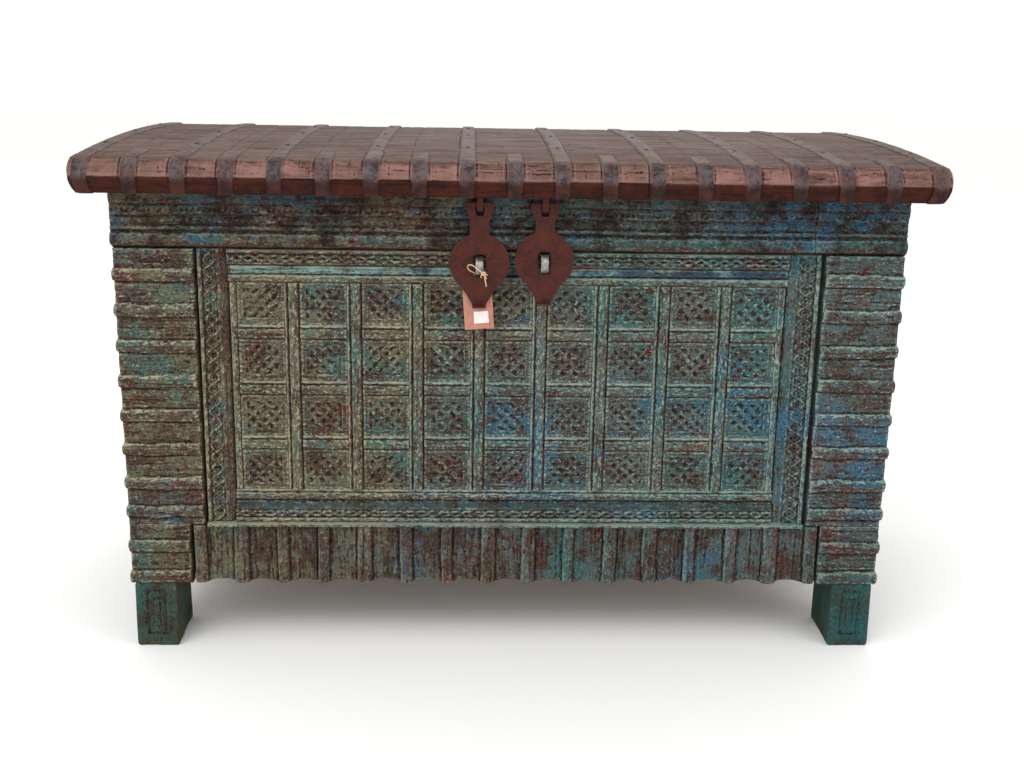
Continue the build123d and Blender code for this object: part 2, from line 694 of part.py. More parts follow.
def staple(x, z):
    """A strip bent into a loop, its legs through the front and turned over inside."""
    half = (STAPLE_HEIGHT - STAPLE_THICK) / 2
    inside = PANEL_BACK + STAPLE_THICK / 2 + 1.6
    nose = -STAPLE_NOSE + STAPLE_THICK / 2
    route = [
        (inside, z + half + 16),
        (inside, z + half),
        (nose, z + half),
        (nose, z - half),
        (inside, z - half),
        (inside, z - half - 16),
    ]
    return bent_strip(route, [3.0, 9.0, 9.0, 3.0], STAPLE_WIDTH, STAPLE_THICK, x)


def hanger(x):
    """A loop under the lid's front rail that holds a hasp's top bar."""
    half = (HANGER_LOOP + HANGER_THICK) / 2
    low = HASP_PIVOT_Z - 9.0
    route = [
        (HASP_Y - half, LID_LOW),
        (HASP_Y - half, low),
        (HASP_Y + half, low),
        (HASP_Y + half, LID_LOW),
    ]
    return bent_strip(route, [4.0, 4.0], HANGER_WIDTH, HANGER_THICK, x)


def hasp(x, disc_z, disc_r, slot_z):
    """A forged plate: top bar, neck, disc with a slot for the staple, and a tab turned outwards."""
    neck_low = disc_z + disc_r * 0.8
    plane = Plane(origin=(x, HASP_Y + IRON / 2, 0), x_dir=(1, 0, 0), z_dir=(0, -1, 0))
    top = HASP_PIVOT_Z + 4.0
    neck = Polyline(
        (-23, top),
        (23, top),
        (23, top - 10),
        (16, top - 30),
        (16, neck_low),
        (-16, neck_low),
        (-16, top - 30),
        (-23, top - 10),
        close=True,
    )
    tab_z = disc_z - disc_r - 20
    tail_z = disc_z - disc_r * 0.72
    tail = Polyline((-31, tail_z), (31, tail_z), (11, tab_z), (-11, tab_z), close=True)
    outline = make_face(neck) + Pos(0, disc_z) * Circle(disc_r) + make_face(tail)
    main_slot = Pos(0, slot_z) * RectangleRounded(SLOT_WIDTH, SLOT_HEIGHT, 4)
    top_slot = Pos(0, HASP_PIVOT_Z - 11.0) * Rectangle(HANGER_WIDTH + 3, 14)
    plate = extrude(plane * (outline - main_slot - top_slot), IRON)
    tab = block((x - 11, x + 11), (HASP_Y - IRON / 2 - 12, HASP_Y + IRON / 2), (tab_z - IRON, tab_z))
    return plate + tab


for side, (x, disc_z, disc_r, slot_z) in HASPS.items():
    nodes[f"staple_{side}"] = staple(x, slot_z)
    nodes[f"hasp_{side}"] = hasp(x, disc_z, disc_r, slot_z)
nodes["hasp_hangers"] = group([hanger(x) for x, _, _, _ in HASPS.values()])

# ---- Paper tag on the left hasp ------------------------------------------------------------------------
TAG_THICK = 0.8
TAG_BACK = -308.6  # back face of the card, which hangs behind the disc
TAG_TILT = 4.0
TAG_HOLE = (-58.0, 645.0)
TWINE_R = 0.9

tag_plane = Plane(origin=(TAG_HOLE[0], TAG_BACK, TAG_HOLE[1]), x_dir=(1, 0, 0), z_dir=(0, -1, 0))
tag_face = Polyline(
    (-16, 10), (16, 10), (24, 2), (24, -64), (-24, -64), (-24, 2), close=True
)
tag_shape = make_face(tag_face) - Circle(3.2)
nodes["tag_card"] = extrude(tag_plane * Rot(0, 0, TAG_TILT) * tag_shape, TAG_THICK)
label_at = (TAG_HOLE[0], TAG_BACK - TAG_THICK, TAG_HOLE[1])
label_plane = Plane(origin=label_at, x_dir=(1, 0, 0), z_dir=(0, -1, 0))
label = Rot(0, 0, TAG_TILT) * (Pos(4, -44) * Rectangle(24, 20))
nodes["tag_label"] = extrude(label_plane * label, 0.3)

TWINE = [  # loose end, knot, over the staple's nose, back through the slot and down to the card's hole
    (-43.5, -331.0, 658.0),
    (-45.5, -335.5, 669.0),
    (-48.5, -338.8, 680.5),
    (-58.0, -340.5, 688.5),
    (-68.5, -335.5, 695.0),
    (-75.0, -326.0, 690.5),
    (-72.5, -319.4, 682.0),
    (-63.3, -318.6, 678.0),
    (-63.1, -310.7, 675.0),
    (-61.8, -310.7, 666.0),
    (-60.2, -310.5, 657.0),
    (-58.2, -310.5, 649.0),
]


def turn(a, b, c):
    """How far the route turns at b, in degrees."""
    return (Vector(*b) - Vector(*a)).get_angle(Vector(*c) - Vector(*b))


def twine_radii(route):
    radii = []
    for a, b, c in zip(route, route[1:], route[2:]):
        shorter = min((Vector(*b) - Vector(*a)).length, (Vector(*c) - Vector(*b)).length)
        radii.append(0.45 * shorter / math.tan(math.radians(turn(a, b, c)) / 2))
    return radii


twine_path = FilletPolyline(*TWINE, radius=twine_radii(TWINE))
twine_section = Plane(origin=twine_path @ 0, z_dir=twine_path % 0) * Circle(TWINE_R)
nodes["tag_twine"] = sweep(twine_section, path=twine_path)

os.makedirs("parts", exist_ok=True)
for node_name, shape in nodes.items():
    export_step(shape, f"parts/{node_name}.step")
print(len(nodes), "nodes; twine", round(twine_path.length, 1), "mm")
print("bends", [round(radius, 1) for radius in twine_radii(TWINE)])
print("twine volume", nodes["tag_twine"].volume, "of", math.pi * TWINE_R**2 * twine_path.length)
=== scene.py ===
"""The carved chest's looks: worn painted carving, a bound lid and its ironwork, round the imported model.

Lengths are in millimetres until a mesh is made. Heights on a wall are measured out from the chest's middle.
"""

import math

import bmesh
import bpy
import numpy as np
from mathutils import Matrix, Vector


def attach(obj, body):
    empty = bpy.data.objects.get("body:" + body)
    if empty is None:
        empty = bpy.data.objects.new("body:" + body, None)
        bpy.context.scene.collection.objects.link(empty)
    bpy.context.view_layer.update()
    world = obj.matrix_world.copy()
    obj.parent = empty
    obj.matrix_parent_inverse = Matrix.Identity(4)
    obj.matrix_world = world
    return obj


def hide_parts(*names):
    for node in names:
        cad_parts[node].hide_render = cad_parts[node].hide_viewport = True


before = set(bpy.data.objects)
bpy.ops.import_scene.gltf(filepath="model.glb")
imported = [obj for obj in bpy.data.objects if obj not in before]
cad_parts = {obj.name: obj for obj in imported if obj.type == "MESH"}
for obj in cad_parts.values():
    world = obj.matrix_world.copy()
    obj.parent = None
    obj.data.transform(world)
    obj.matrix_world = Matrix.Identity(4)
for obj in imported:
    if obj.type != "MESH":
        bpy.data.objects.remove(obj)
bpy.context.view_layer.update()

MM = 0.001
scene = bpy.context.scene

# ---- Camera ----
CAMERA_AT = Vector((-0.0714, -2.2961, 1.0705))
CAMERA_PITCH, CAMERA_YAW, CAMERA_ROLL = math.radians(14.31), math.radians(2.07), math.radians(1.02)
LENS, LENS_SHIFT = 43.59, -0.043


def aim():
    """The camera's turn, from its pitch, yaw and roll."""
    flat, down = math.cos(CAMERA_PITCH), math.sin(CAMERA_PITCH)
    forward = Vector((math.sin(CAMERA_YAW) * flat, math.cos(CAMERA_YAW) * flat, -down))
    right = Vector((math.cos(CAMERA_YAW), -math.sin(CAMERA_YAW), 0))
    up = right.cross(forward)
    cos, sin = math.cos(CAMERA_ROLL), math.sin(CAMERA_ROLL)
    columns = Matrix((cos * right + sin * up, -sin * right + cos * up, -forward))
    return columns.transposed().to_4x4()


camera_data = bpy.data.cameras.new("camera")
camera_data.sensor_width = 36
camera_data.lens = LENS
camera_data.shift_y = LENS_SHIFT
camera = bpy.data.objects.new("camera", camera_data)
camera.matrix_world = Matrix.Translation(CAMERA_AT) @ aim()
scene.collection.objects.link(camera)
scene.camera = camera

# ---- The twine's route: loose end, over the staple, through the slot, to the card's hole ----
TWINE = [
    (-43.5, -331.0, 658.0),
    (-45.5, -335.5, 669.0),
    (-48.5, -338.8, 680.5),
    (-58.0, -340.5, 688.5),
    (-68.5, -335.5, 695.0),
    (-75.0, -326.0, 690.5),
    (-72.5, -319.4, 682.0),
    (-63.3, -318.6, 678.0),
    (-63.1, -310.7, 675.0),
    (-61.8, -310.7, 666.0),
    (-60.2, -310.5, 657.0),
    (-58.2, -310.5, 649.0),
]
TWINE_R = 0.9

# ---- Sizes of the chest ----
FRONT = 300.0  # height of the body's front face
SIDE = 650.0
RIM = 802.0
PANEL = 278.0  # height of the planks behind the carving
FOOT_HEIGHT = 120.0
LEDGE = 230.0
TOP_RAIL_LOW = 708.0
RAIL_JOINT = 497.0
RIBS = [665.0 - i * 60.0 for i in range(7)] + [253.0, 190.0, 133.0]
RIB_HEIGHT = 23.0
FACING_INNER, FACING_INNER_LOW = 519.0, 545.0
SIDE_FACING = 636.0  # inner face of the ribbed boards on the sides
POST_INNER = 183.5
POST_X, FOOT_MIDDLE = 611.5, 62.0
SIDE_RAIL_LOW = 123.0
LEAVES, CRESCENTS, CRESCENT_CUT = 753.5, 772.0, 775.5  # heights of their middles on the top rail
CARVING_PITCH = 26.0
BORDER_LEFT, BORDER_RIGHT = -515.0, 512.0
FIELD_LEFT, FIELD_RIGHT, FIELD_LOW, FIELD_HIGH = -467.0, 459.0, 269.0, 679.0
BAR_LOW, BAR_HIGH = 276.0, 663.5  # middles of the rows of bars below and above the squares
SLOPE_LOW = 664.0  # where the slope under the border's top meets the narrow bar
COLUMNS, ROWS, BAR = 9, 4, 26.0
SQUARES_LOW, SQUARES_HIGH = BAR_LOW + BAR / 2, BAR_HIGH - BAR / 2
COLUMN, ROW = (FIELD_RIGHT - FIELD_LEFT) / COLUMNS, (BAR_HIGH - BAR_LOW) / ROWS
EDGE_BAR = BAR / 2
APRON_SIDE, APRON_RIBS, APRON_RIB = 542.0, 16, 23.0

LID_SIDE, LID_FRONT, LID_LOW, LIP = 698.0, 348.0, 803.0, 829.0
SHOULDER_Y, SHOULDER_Z, CREST = 318.0, 858.5, 868.0
UNDERCUT = 4.0
FRAME_INNER, INNER_EDGE = 270.0, 232.0
LID_PLANK = 24.0
STRAP, STRAP_THICK, STRAP_PITCH = 24.0, 3.0, 75.5
SHORT_STRAP_Y = -258.0

# ---- Noise ----
LATTICE, LATTICE_3D = 256, 32


def span(middle, half):
    return middle - half, middle + half


def ease(t):
    return t * t * (3 - 2 * t)


def rise(value, low, high):
    """0 below low, 1 above high, and smooth between."""
    return ease(np.clip((value - low) / (high - low), 0, 1))


def noise(u, v, seed):
    """Smooth noise from -1 to 1 over a plane, with features about one unit wide."""
    grid = np.random.default_rng(seed).uniform(-1, 1, (LATTICE, LATTICE))
    u0, v0 = np.floor(u).astype(int), np.floor(v).astype(int)
    fu, fv = ease(u - u0), ease(v - v0)
    i0, i1, j0, j1 = u0 % LATTICE, (u0 + 1) % LATTICE, v0 % LATTICE, (v0 + 1) % LATTICE
    low = grid[i0, j0] * (1 - fu) + grid[i1, j0] * fu
    high = grid[i0, j1] * (1 - fu) + grid[i1, j1] * fu
    return low * (1 - fv) + high * fv


def fbm(u, v, seed, octaves=3):
    """Noise with finer noise on it."""
    total = sum(noise(u * 2**k + 13.7 * k, v * 2**k + 5.3 * k, seed + k) * 0.5**k for k in range(octaves))
    return total / (2 - 0.5 ** (octaves - 1))


def noise3(points, seed):
    """Smooth noise from -1 to 1 through space."""
    grid = np.random.default_rng(seed).uniform(-1, 1, (LATTICE_3D,) * 3)
    cell = np.floor(points).astype(int)
    part = ease(points - cell)
    total = np.zeros(len(points))
    for corner in np.ndindex(2, 2, 2):
        at = (cell + corner) % LATTICE_3D
        weight = np.prod(np.where(corner, part, 1 - part), axis=1)
        total += grid[at[:, 0], at[:, 1], at[:, 2]] * weight
    return total


# ---- Profiles ----
def half_round(distance, width, height):
    """A half-round rib, by the distance from its middle."""
    return height * np.sqrt(1 - np.clip(np.abs(distance) / (width / 2), 0, 1) ** 2)


def groove(distance, width, depth):
    """A rounded groove of that whole width."""
    return -depth * (1 - rise(np.abs(distance), 0, width / 2))


def off_middle(along, pitch):
    """Signed distance from the nearest middle in a row of cells."""
    return (along + pitch / 2) % pitch - pitch / 2


def dots(along, across, pitch, radius, depth):
    """A row of round holes."""
    return -depth * (1 - rise(np.hypot(off_middle(along, pitch), across), radius * 0.5, radius))


def grain(u, v, seed, depth=0.35, length=70.0, width=3.0):
    """Fine ridges of weathered wood, with a few deeper cracks, running along u."""
    fibres = fbm(u / length, v / width, seed, 3) * depth
    cracks = rise(fbm(u / (length * 2.2), v / 5.0, seed + 9, 2), 0.52, 0.62) * depth * 2.4
    return fibres - cracks


def chips(u, v, seed, depth=1.6, size=11.0):
    """Splinters broken away along the grain, which runs along u."""
    return -0.7 * depth * rise(fbm(u / (size * 1.8), v / (size * 0.55), seed, 3), 0.4, 0.56)


def pitted(u, v, seed, depth=0.5):
    """The small bumps and pits of a surface that has lost its paint in flakes."""
    return depth * (noise(u / 6.0, v / 4.0, seed) + 0.6 * noise(u / 3.4, v / 3.4, seed + 1))


# ---- Meshes ----
PLACE = {  # (u, v, height) on each wall, to a point; u runs to the right as the wall is seen
    "front": lambda u, v, h: (u, -h, v),
    "right": lambda u, v, h: (h, u, v),
    "left": lambda u, v, h: (-h, -u, v),
    "back": lambda u, v, h: (-u, h, v),
}


SHARP_EDGE = 50  # degrees


class Shape:
    """Closed surfaces that make one piece."""

    def __init__(self):
        self.points, self.relief, self.faces, self.count = [], [], [], 0

    def add(self, points, relief, *faces):
        self.points.append(np.asarray(points, float).reshape(-1, 3))
        self.relief.append(np.ravel(relief))
        self.faces += [np.asarray(f) + self.count for f in faces]
        self.count += len(self.points[-1])

    def build(self, name):
        """The object with the mesh."""
        mesh = bpy.data.meshes.new(name)
        points = np.concatenate(self.points) * MM
        mesh.vertices.add(len(points))
        mesh.vertices.foreach_set("co", points.astype(np.float32).ravel())
        loops = np.concatenate([f.ravel() for f in self.faces]).astype(np.int32)
        sizes = np.concatenate([np.full(len(f), f.shape[1]) for f in self.faces])
        mesh.loops.add(len(loops))
        mesh.loops.foreach_set("vertex_index", loops)
        mesh.polygons.add(len(sizes))
        mesh.polygons.foreach_set("loop_start", (np.cumsum(sizes) - sizes).astype(np.int32))
        mesh.update(calc_edges=True)
        mesh.polygons.foreach_set("use_smooth", np.ones(len(sizes), bool))
        mesh.set_sharp_from_angle(angle=math.radians(SHARP_EDGE))
        layer = mesh.attributes.new("relief", "FLOAT", "POINT")
        layer.data.foreach_set("value", np.concatenate(self.relief).astype(np.float32))
        return bpy.data.objects.new(name, mesh)

    def piece(self, node, ending, material, slot="carved_paint", body="body"):
        """Puts the mesh in the frame in place of one CAD node, named after it."""
        return finish_piece(self.build(node + ending), material, body, slot, node)


def finish_piece(obj, material, body, slot, *nodes):
    """Puts a piece in the scene, on its body, for the CAD nodes that it stands for."""
    if obj.name not in scene.collection.objects:
        scene.collection.objects.link(obj)
    obj.data.materials.clear()
    obj.data.materials.append(material)
    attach(obj, body)
    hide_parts(*nodes)
    return obj


def proud(height, reach):
    """How far each point stands above its surroundings, about -1 to 1; edges of a board count as proud."""
    padded = np.pad(height, reach, mode="constant", constant_values=height.mean() - 5)
    size = 2 * reach + 1
    for axis in (0, 1):
        total = np.cumsum(padded, axis=axis)
        total = np.insert(total, 0, 0, axis=axis)
        upper = np.take(total, range(size, total.shape[axis]), axis=axis)
        lower = np.take(total, range(total.shape[axis] - size), axis=axis)
        padded = (upper - lower) / size
    return np.tanh((height - padded) / 1.1)


def board(shape, face, u, v, step, height, back, low=None, high=None, left=None, right=None, edge=2.2):
    """A board whose face follows height(u, v). low, high, left and right move its outline."""
    counts = [max(2, round((end - start) / step) + 1) for start, end in (u, v)]
    across, up = np.meshgrid(np.linspace(*u, counts[0]), np.linspace(*v, counts[1]), indexing="ij")
    out = height(across, up)
    inward = np.minimum(np.minimum(across - u[0], u[1] - across), np.minimum(up - v[0], v[1] - up))
    out = out - edge * (1 - np.sqrt(1 - np.clip(1 - inward / edge, 0, 1) ** 2))
    relief = proud(out, max(1, round(5 / step)))
    s, t = (across - u[0]) / (u[1] - u[0]), (up - v[0]) / (v[1] - v[0])
    moved_u = across + (left(up) * (1 - s) if left else 0) + (right(up) * s if right else 0)
    moved_v = up + (low(across) * (1 - t) if low else 0) + (high(across) * t if high else 0)
    front = np.stack(PLACE[face](moved_u, moved_v, out), axis=-1).reshape(-1, 3)
    number = np.arange(counts[0] * counts[1]).reshape(counts)
    quads = np.stack([number[:-1, :-1], number[1:, :-1], number[1:, 1:], number[:-1, 1:]], -1).reshape(-1, 4)
    ring = np.concatenate([number[:-1, 0], number[-1, :-1], number[:0:-1, -1], number[0, :0:-1]])
    behind = np.stack(PLACE[face](moved_u.ravel()[ring], moved_v.ravel()[ring], np.full(len(ring), back)), -1)
    first = len(front)
    back_ring = first + np.arange(len(ring))
    walls = np.stack([np.roll(ring, -1), ring, back_ring, np.roll(back_ring, -1)], -1)
    middle = np.full(len(ring), first + len(ring))
    fan = np.stack([middle, np.roll(back_ring, -1), back_ring], -1)
    points = np.concatenate([front, behind, behind.mean(axis=0, keepdims=True)])
    shape.add(points, np.concatenate([relief.ravel(), np.zeros(len(ring) + 1)]), quads, walls, fan)
    return shape


def loft(shape, rings, relief):
    """A closed skin through rings of points, with a cap on each end."""
    count, size = rings.shape[:2]
    number = np.arange(count * size).reshape(count, size)
    onward = np.roll(number, -1, axis=1)
    quads = np.stack([number[:-1], number[1:], onward[1:], onward[:-1]], -1).reshape(-1, 4)
    shape.add(rings, relief, quads, number[:1], number[-1:, ::-1])
    return shape


def lattice_box(counts):
    """The lattice points on a box's surface, and its squares."""
    squares = []
    for axis in range(3):
        a, b = (axis + 1) % 3, (axis + 2) % 3
        ia, ib = np.meshgrid(np.arange(counts[a] - 1), np.arange(counts[b] - 1), indexing="ij")
        for side in (0, counts[axis] - 1):
            corners = []
            for da, db in ((0, 0), (1, 0), (1, 1), (0, 1)):
                corner = np.zeros(ia.shape + (3,), int)
                corner[..., axis], corner[..., a], corner[..., b] = side, ia + da, ib + db
                corners.append(corner)
            squares.append(np.stack(corners if side else corners[::-1], -2).reshape(-1, 4, 3))
    points, index = np.unique(np.concatenate(squares).reshape(-1, 3), axis=0, return_inverse=True)
    return points, index.reshape(-1, 4)


def timber(shape, low, high, along, seed, radius=2.5, step=9.0, rough=0.5):
    """A squared timber with worn edges and a weathered surface; along is its grain's axis."""
    low, high = np.array(low, float), np.array(high, float)
    radius = min(radius, (high - low).min() * 0.3)
    axes = []
    for start, end in zip(low, high):
        middle = np.linspace(start + radius, end - radius, max(2, round((end - start) / step)))
        axes.append(np.concatenate([[start, start + radius / 2], middle, [end - radius / 2, end]]))
    lattice, quads = lattice_box([len(a) for a in axes])
    points = np.stack([axes[k][lattice[:, k]] for k in range(3)], -1)
    core = np.clip(points, low + radius, high - radius)
    out = points - core
    length = np.linalg.norm(out, axis=1, keepdims=True)
    normal = out / length
    edge = np.clip((length[:, 0] / radius - 1) / 0.41, 0, 1)
    scale = np.full(3, 9.0)
    scale[along] = 80.0
    wear = noise3(core / scale, seed) * rough + noise3(core / 31.0, seed + 1) * rough
    wear -= edge * (0.5 + 0.5 * noise3(core / 17.0, seed + 2)) * radius * 0.7
    points = core + normal * (radius + wear[:, None])
    shape.add(points, np.clip(edge * 0.8 + wear * 0.3, -1, 1), quads)


def merged(node):
    """A CAD node's mesh as a bmesh, in millimetres, with its shared corners joined."""
    shell = bmesh.new()
    shell.from_mesh(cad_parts[node].data)
    bmesh.ops.scale(shell, vec=(1 / MM,) * 3, verts=shell.verts)
    bmesh.ops.remove_doubles(shell, verts=shell.verts, dist=0.01)
    return shell


def loose_boxes(node):
    """The lowest and highest corner of each separate solid of a CAD node."""
    shell = merged(node)
    seen, boxes = set(), []
    for start in shell.verts:
        if start in seen:
            continue
        seen.add(start)
        island, queue = [], [start]
        while queue:
            vert = queue.pop()
            island.append(tuple(vert.co))
            for edge in vert.link_edges:
                other = edge.other_vert(vert)
                if other not in seen:
                    seen.add(other)
                    queue.append(other)
        boxes.append((np.min(island, axis=0), np.max(island, axis=0)))
    shell.free()
    return sorted(boxes, key=lambda box: tuple(box[0]))


def timbers(node, ending, material, along, slot, **options):
    """One piece of squared timbers, one for each solid of a CAD node."""
    shape = Shape()
    for number, (low, high) in enumerate(loose_boxes(node)):
        timber(shape, low, high, along, 40 * number + len(node), **options)
    return shape.piece(node, ending, material, slot)


def read(items, field, width, kind=float, per_item=None):
    """A field of a mesh's vertices, edges or corners, as rows of numbers."""
    values = np.empty(len(items) * (per_item or width), kind)
    items.foreach_get(field, values)
    return values.reshape(-1, width)


def weathered(node, ending, material, slot, body, voxel, rough, scale, seed, carve=None):
    """A CAD node's shape, remeshed finely, with soft edges and an uneven surface."""
    shell = merged(node)
    mesh = bpy.data.meshes.new(node)
    shell.to_mesh(mesh)
    shell.free()
    source = bpy.data.objects.new(node + "_source", mesh)
    scene.collection.objects.link(source)
    remesh = source.modifiers.new("remesh", "REMESH")
    remesh.mode = "VOXEL"
    remesh.voxel_size = voxel
    depsgraph = bpy.context.evaluated_depsgraph_get()
    fine = bpy.data.meshes.new_from_object(source.evaluated_get(depsgraph))
    bpy.data.objects.remove(source)
    points, normals = read(fine.vertices, "co", 3), read(fine.vertices, "normal", 3)
    edges = read(fine.edges, "vertices", 2, int)
    faces = read(fine.loops, "vertex_index", 4, int, per_item=1)

    def around(values):
        total = np.zeros_like(values)
        count = np.zeros(len(values))
        for a, b in ((0, 1), (1, 0)):
            np.add.at(total, edges[:, a], values[edges[:, b]])
            np.add.at(count, edges[:, a], 1)
        return total / count.reshape((-1,) + (1,) * (values.ndim - 1))

    smooth = points
    for _ in range(3):
        smooth = around(smooth)
    relief = ((points - smooth) * normals).sum(axis=1)
    for _ in range(2):
        relief = around(relief)
    points = points + (smooth - points) * 0.5
    cells = points / np.array(scale)
    wear = (noise3(cells, seed) * 0.6 + noise3(cells * 2.3, seed + 1) * 0.4) * rough
    if carve:
        wear = wear + carve(points, normals)
    points = points + normals * wear[:, None]
    points[:, 2] = np.maximum(points[:, 2], 0)
    shape = Shape()
    shape.add(points, np.tanh(relief / voxel * 2.5 + wear / rough * 0.25), faces)
    return shape.piece(node, ending, material, slot, body)


# ---- Materials ----
def rgb(red, green, blue):
    """An sRGB colour from 0 to 255, as Blender's linear colour."""
    linear = [((c / 255 + 0.055) / 1.055) ** 2.4 if c > 10 else c / 255 / 12.92 for c in (red, green, blue)]
    return (*linear, 1.0)


class Value:
    """A node's output that can be reckoned with: each sum or comparison makes its own math node."""

    def __init__(self, graph, socket):
        self.graph, self.socket = graph, socket

    def __add__(self, other):
        return self.graph.math("ADD", self, other)

    def __radd__(self, number):
        return self.graph.math("ADD", number, self)

    def __sub__(self, number):
        return self + -number

    def __mul__(self, other):
        return self.graph.math("MULTIPLY", self, other)

    def __neg__(self):
        return self * -1.0

    def __abs__(self):
        return self.graph.math("ABSOLUTE", self)

    def __lt__(self, number):
        return self.graph.math("LESS_THAN", self, number)

    def __gt__(self, number):
        return self.graph.math("GREATER_THAN", self, number)


class Graph:
    """A material's nodes, made by short calls. Patterns follow the piece's own coordinates, in metres."""

    def __init__(self, name, roughness=0.8, metallic=0.0, specular=0.5):
        self.material = bpy.data.materials.new(name)
        self.material.use_nodes = True
        self.tree = self.material.node_tree
        self.tree.nodes.clear()
        self.shader = self.tree.nodes.new("ShaderNodeBsdfPrincipled")
        self.shader.inputs["Roughness"].default_value = roughness
        self.shader.inputs["Metallic"].default_value = metallic
        self.shader.inputs["Specular IOR Level"].default_value = specular
        output = self.tree.nodes.new("ShaderNodeOutputMaterial")
        self.tree.links.new(self.shader.outputs[0], output.inputs[0])
        self.at = self.coordinates("Object")

    def coordinates(self, kind):
        return Value(self, self.tree.nodes.new("ShaderNodeTexCoord").outputs[kind])

    def put(self, value, socket):
        if isinstance(value, Value):
            self.tree.links.new(value.socket, socket)
        else:
            socket.default_value = value

    def math(self, operation, a, b=0.0):
        node = self.tree.nodes.new("ShaderNodeMath")
        node.operation = operation
        self.put(a, node.inputs[0])
        self.put(b, node.inputs[1])
        return Value(self, node.outputs[0])

    def noise(self, scale, detail=2.0, rough=0.55, stretch=(1, 1, 1), shift=0.0, twist=0.0):
        mapping = self.tree.nodes.new("ShaderNodeMapping")
        self.put(self.at, mapping.inputs["Vector"])
        mapping.inputs["Scale"].default_value = stretch
        mapping.inputs["Location"].default_value = (shift, shift * 1.7, shift * 0.6)
        node = self.tree.nodes.new("ShaderNodeTexNoise")
        self.tree.links.new(mapping.outputs[0], node.inputs["Vector"])
        node.inputs["Scale"].default_value = scale
        node.inputs["Detail"].default_value = detail
        node.inputs["Roughness"].default_value = rough
        node.inputs["Distortion"].default_value = twist
        return Value(self, node.outputs["Fac"])

    def step(self, value, low, high):
        """0 below low, 1 above high."""
        node = self.tree.nodes.new("ShaderNodeMapRange")
        node.interpolation_type = "SMOOTHSTEP"
        self.put(value, node.inputs["Value"])
        node.inputs["From Min"].default_value = low
        node.inputs["From Max"].default_value = high
        return Value(self, node.outputs["Result"])

    def band(self, value, start, full, fading, end):
        """0 up to start, 1 from full to fading, and 0 again from end on."""
        return self.step(value, start, full) * self.step(value, end, fading)

    def mix(self, a, b, amount):
        node = self.tree.nodes.new("ShaderNodeMix")
        node.data_type = "RGBA"
        self.put(amount, node.inputs[0])
        self.put(a, node.inputs[6])
        self.put(b, node.inputs[7])
        return Value(self, node.outputs[2])

    def attribute(self, name):
        node = self.tree.nodes.new("ShaderNodeAttribute")
        node.attribute_name = name
        return Value(self, node.outputs["Fac"])

    def axes(self, vector=None):
        node = self.tree.nodes.new("ShaderNodeSeparateXYZ")
        self.put(vector or self.at, node.inputs[0])
        return [Value(self, output) for output in node.outputs]

    def normal(self):
        """The way a surface faces on the piece itself, so that it stays the same when a joint turns."""
        return self.axes(self.coordinates("Normal"))

    def done(self, colour, roughness, bump, distance):
        """Connects the colour, roughness and bump, and returns the material."""
        self.put(colour, self.shader.inputs["Base Color"])
        self.put(roughness, self.shader.inputs["Roughness"])
        node = self.tree.nodes.new("ShaderNodeBump")
        node.inputs["Distance"].default_value = distance
        self.put(bump, node.inputs["Height"])
        self.tree.links.new(node.outputs[0], self.shader.inputs["Normal"])
        return self.material


ALONG = {"x": (0.1, 1, 1), "y": (1, 0.1, 1), "z": (1, 1, 0.1)}
OLIVE, GREY_TEAL, CREAM = rgb(88, 86, 68), rgb(68, 82, 84), rgb(186, 180, 152)
BLUE, TEAL, MINT = rgb(24, 82, 112), rgb(30, 86, 86), rgb(142, 182, 174)
# The darkest colour serves for dirt and for painted shade in recesses and under the lid.
BARE_WOOD, DARK_WOOD, RED, SHADE_AND_DIRT = rgb(82, 55, 44), rgb(48, 29, 23), rgb(84, 32, 26), rgb(18, 13, 11)


# Where the paint changes, in metres. A band is (start, full, fading, end).
UNDER_FIELD = (0.253, 0.257, 0.2665, 0.2695)  # the dark bevel below the squares
OVER_FIELD = (0.6635, 0.6655, 0.6785, 0.6815)  # the slope above them
FIELD_HALF, FIELD_BACK = 0.463, -0.27
NEAR_LEDGE, LEDGE_REACH = 0.254, (0.04, 0.015)
# The second band darkens the paint under the lid's overhang, as dirt and painted shade.
BLUER_UP, DIRT_AND_SHADE_UNDER_LID, DARKER_DOWN = (0.66, 0.7), (0.65, 0.71), (0.3, 0.25)
INSIDE_X, INSIDE_FRONT, INSIDE_BACK, INSIDE_LOW = 0.6305, -0.269, 0.287, 0.165  # the box's inner faces
INNER_LIGHT, INNER_DEEP = rgb(104, 76, 54), rgb(58, 42, 32)


def less_stretched(stretch):
    """A gentler stretch along the grain, for flakes and pits."""
    return [0.55 + 0.45 * s for s in stretch]


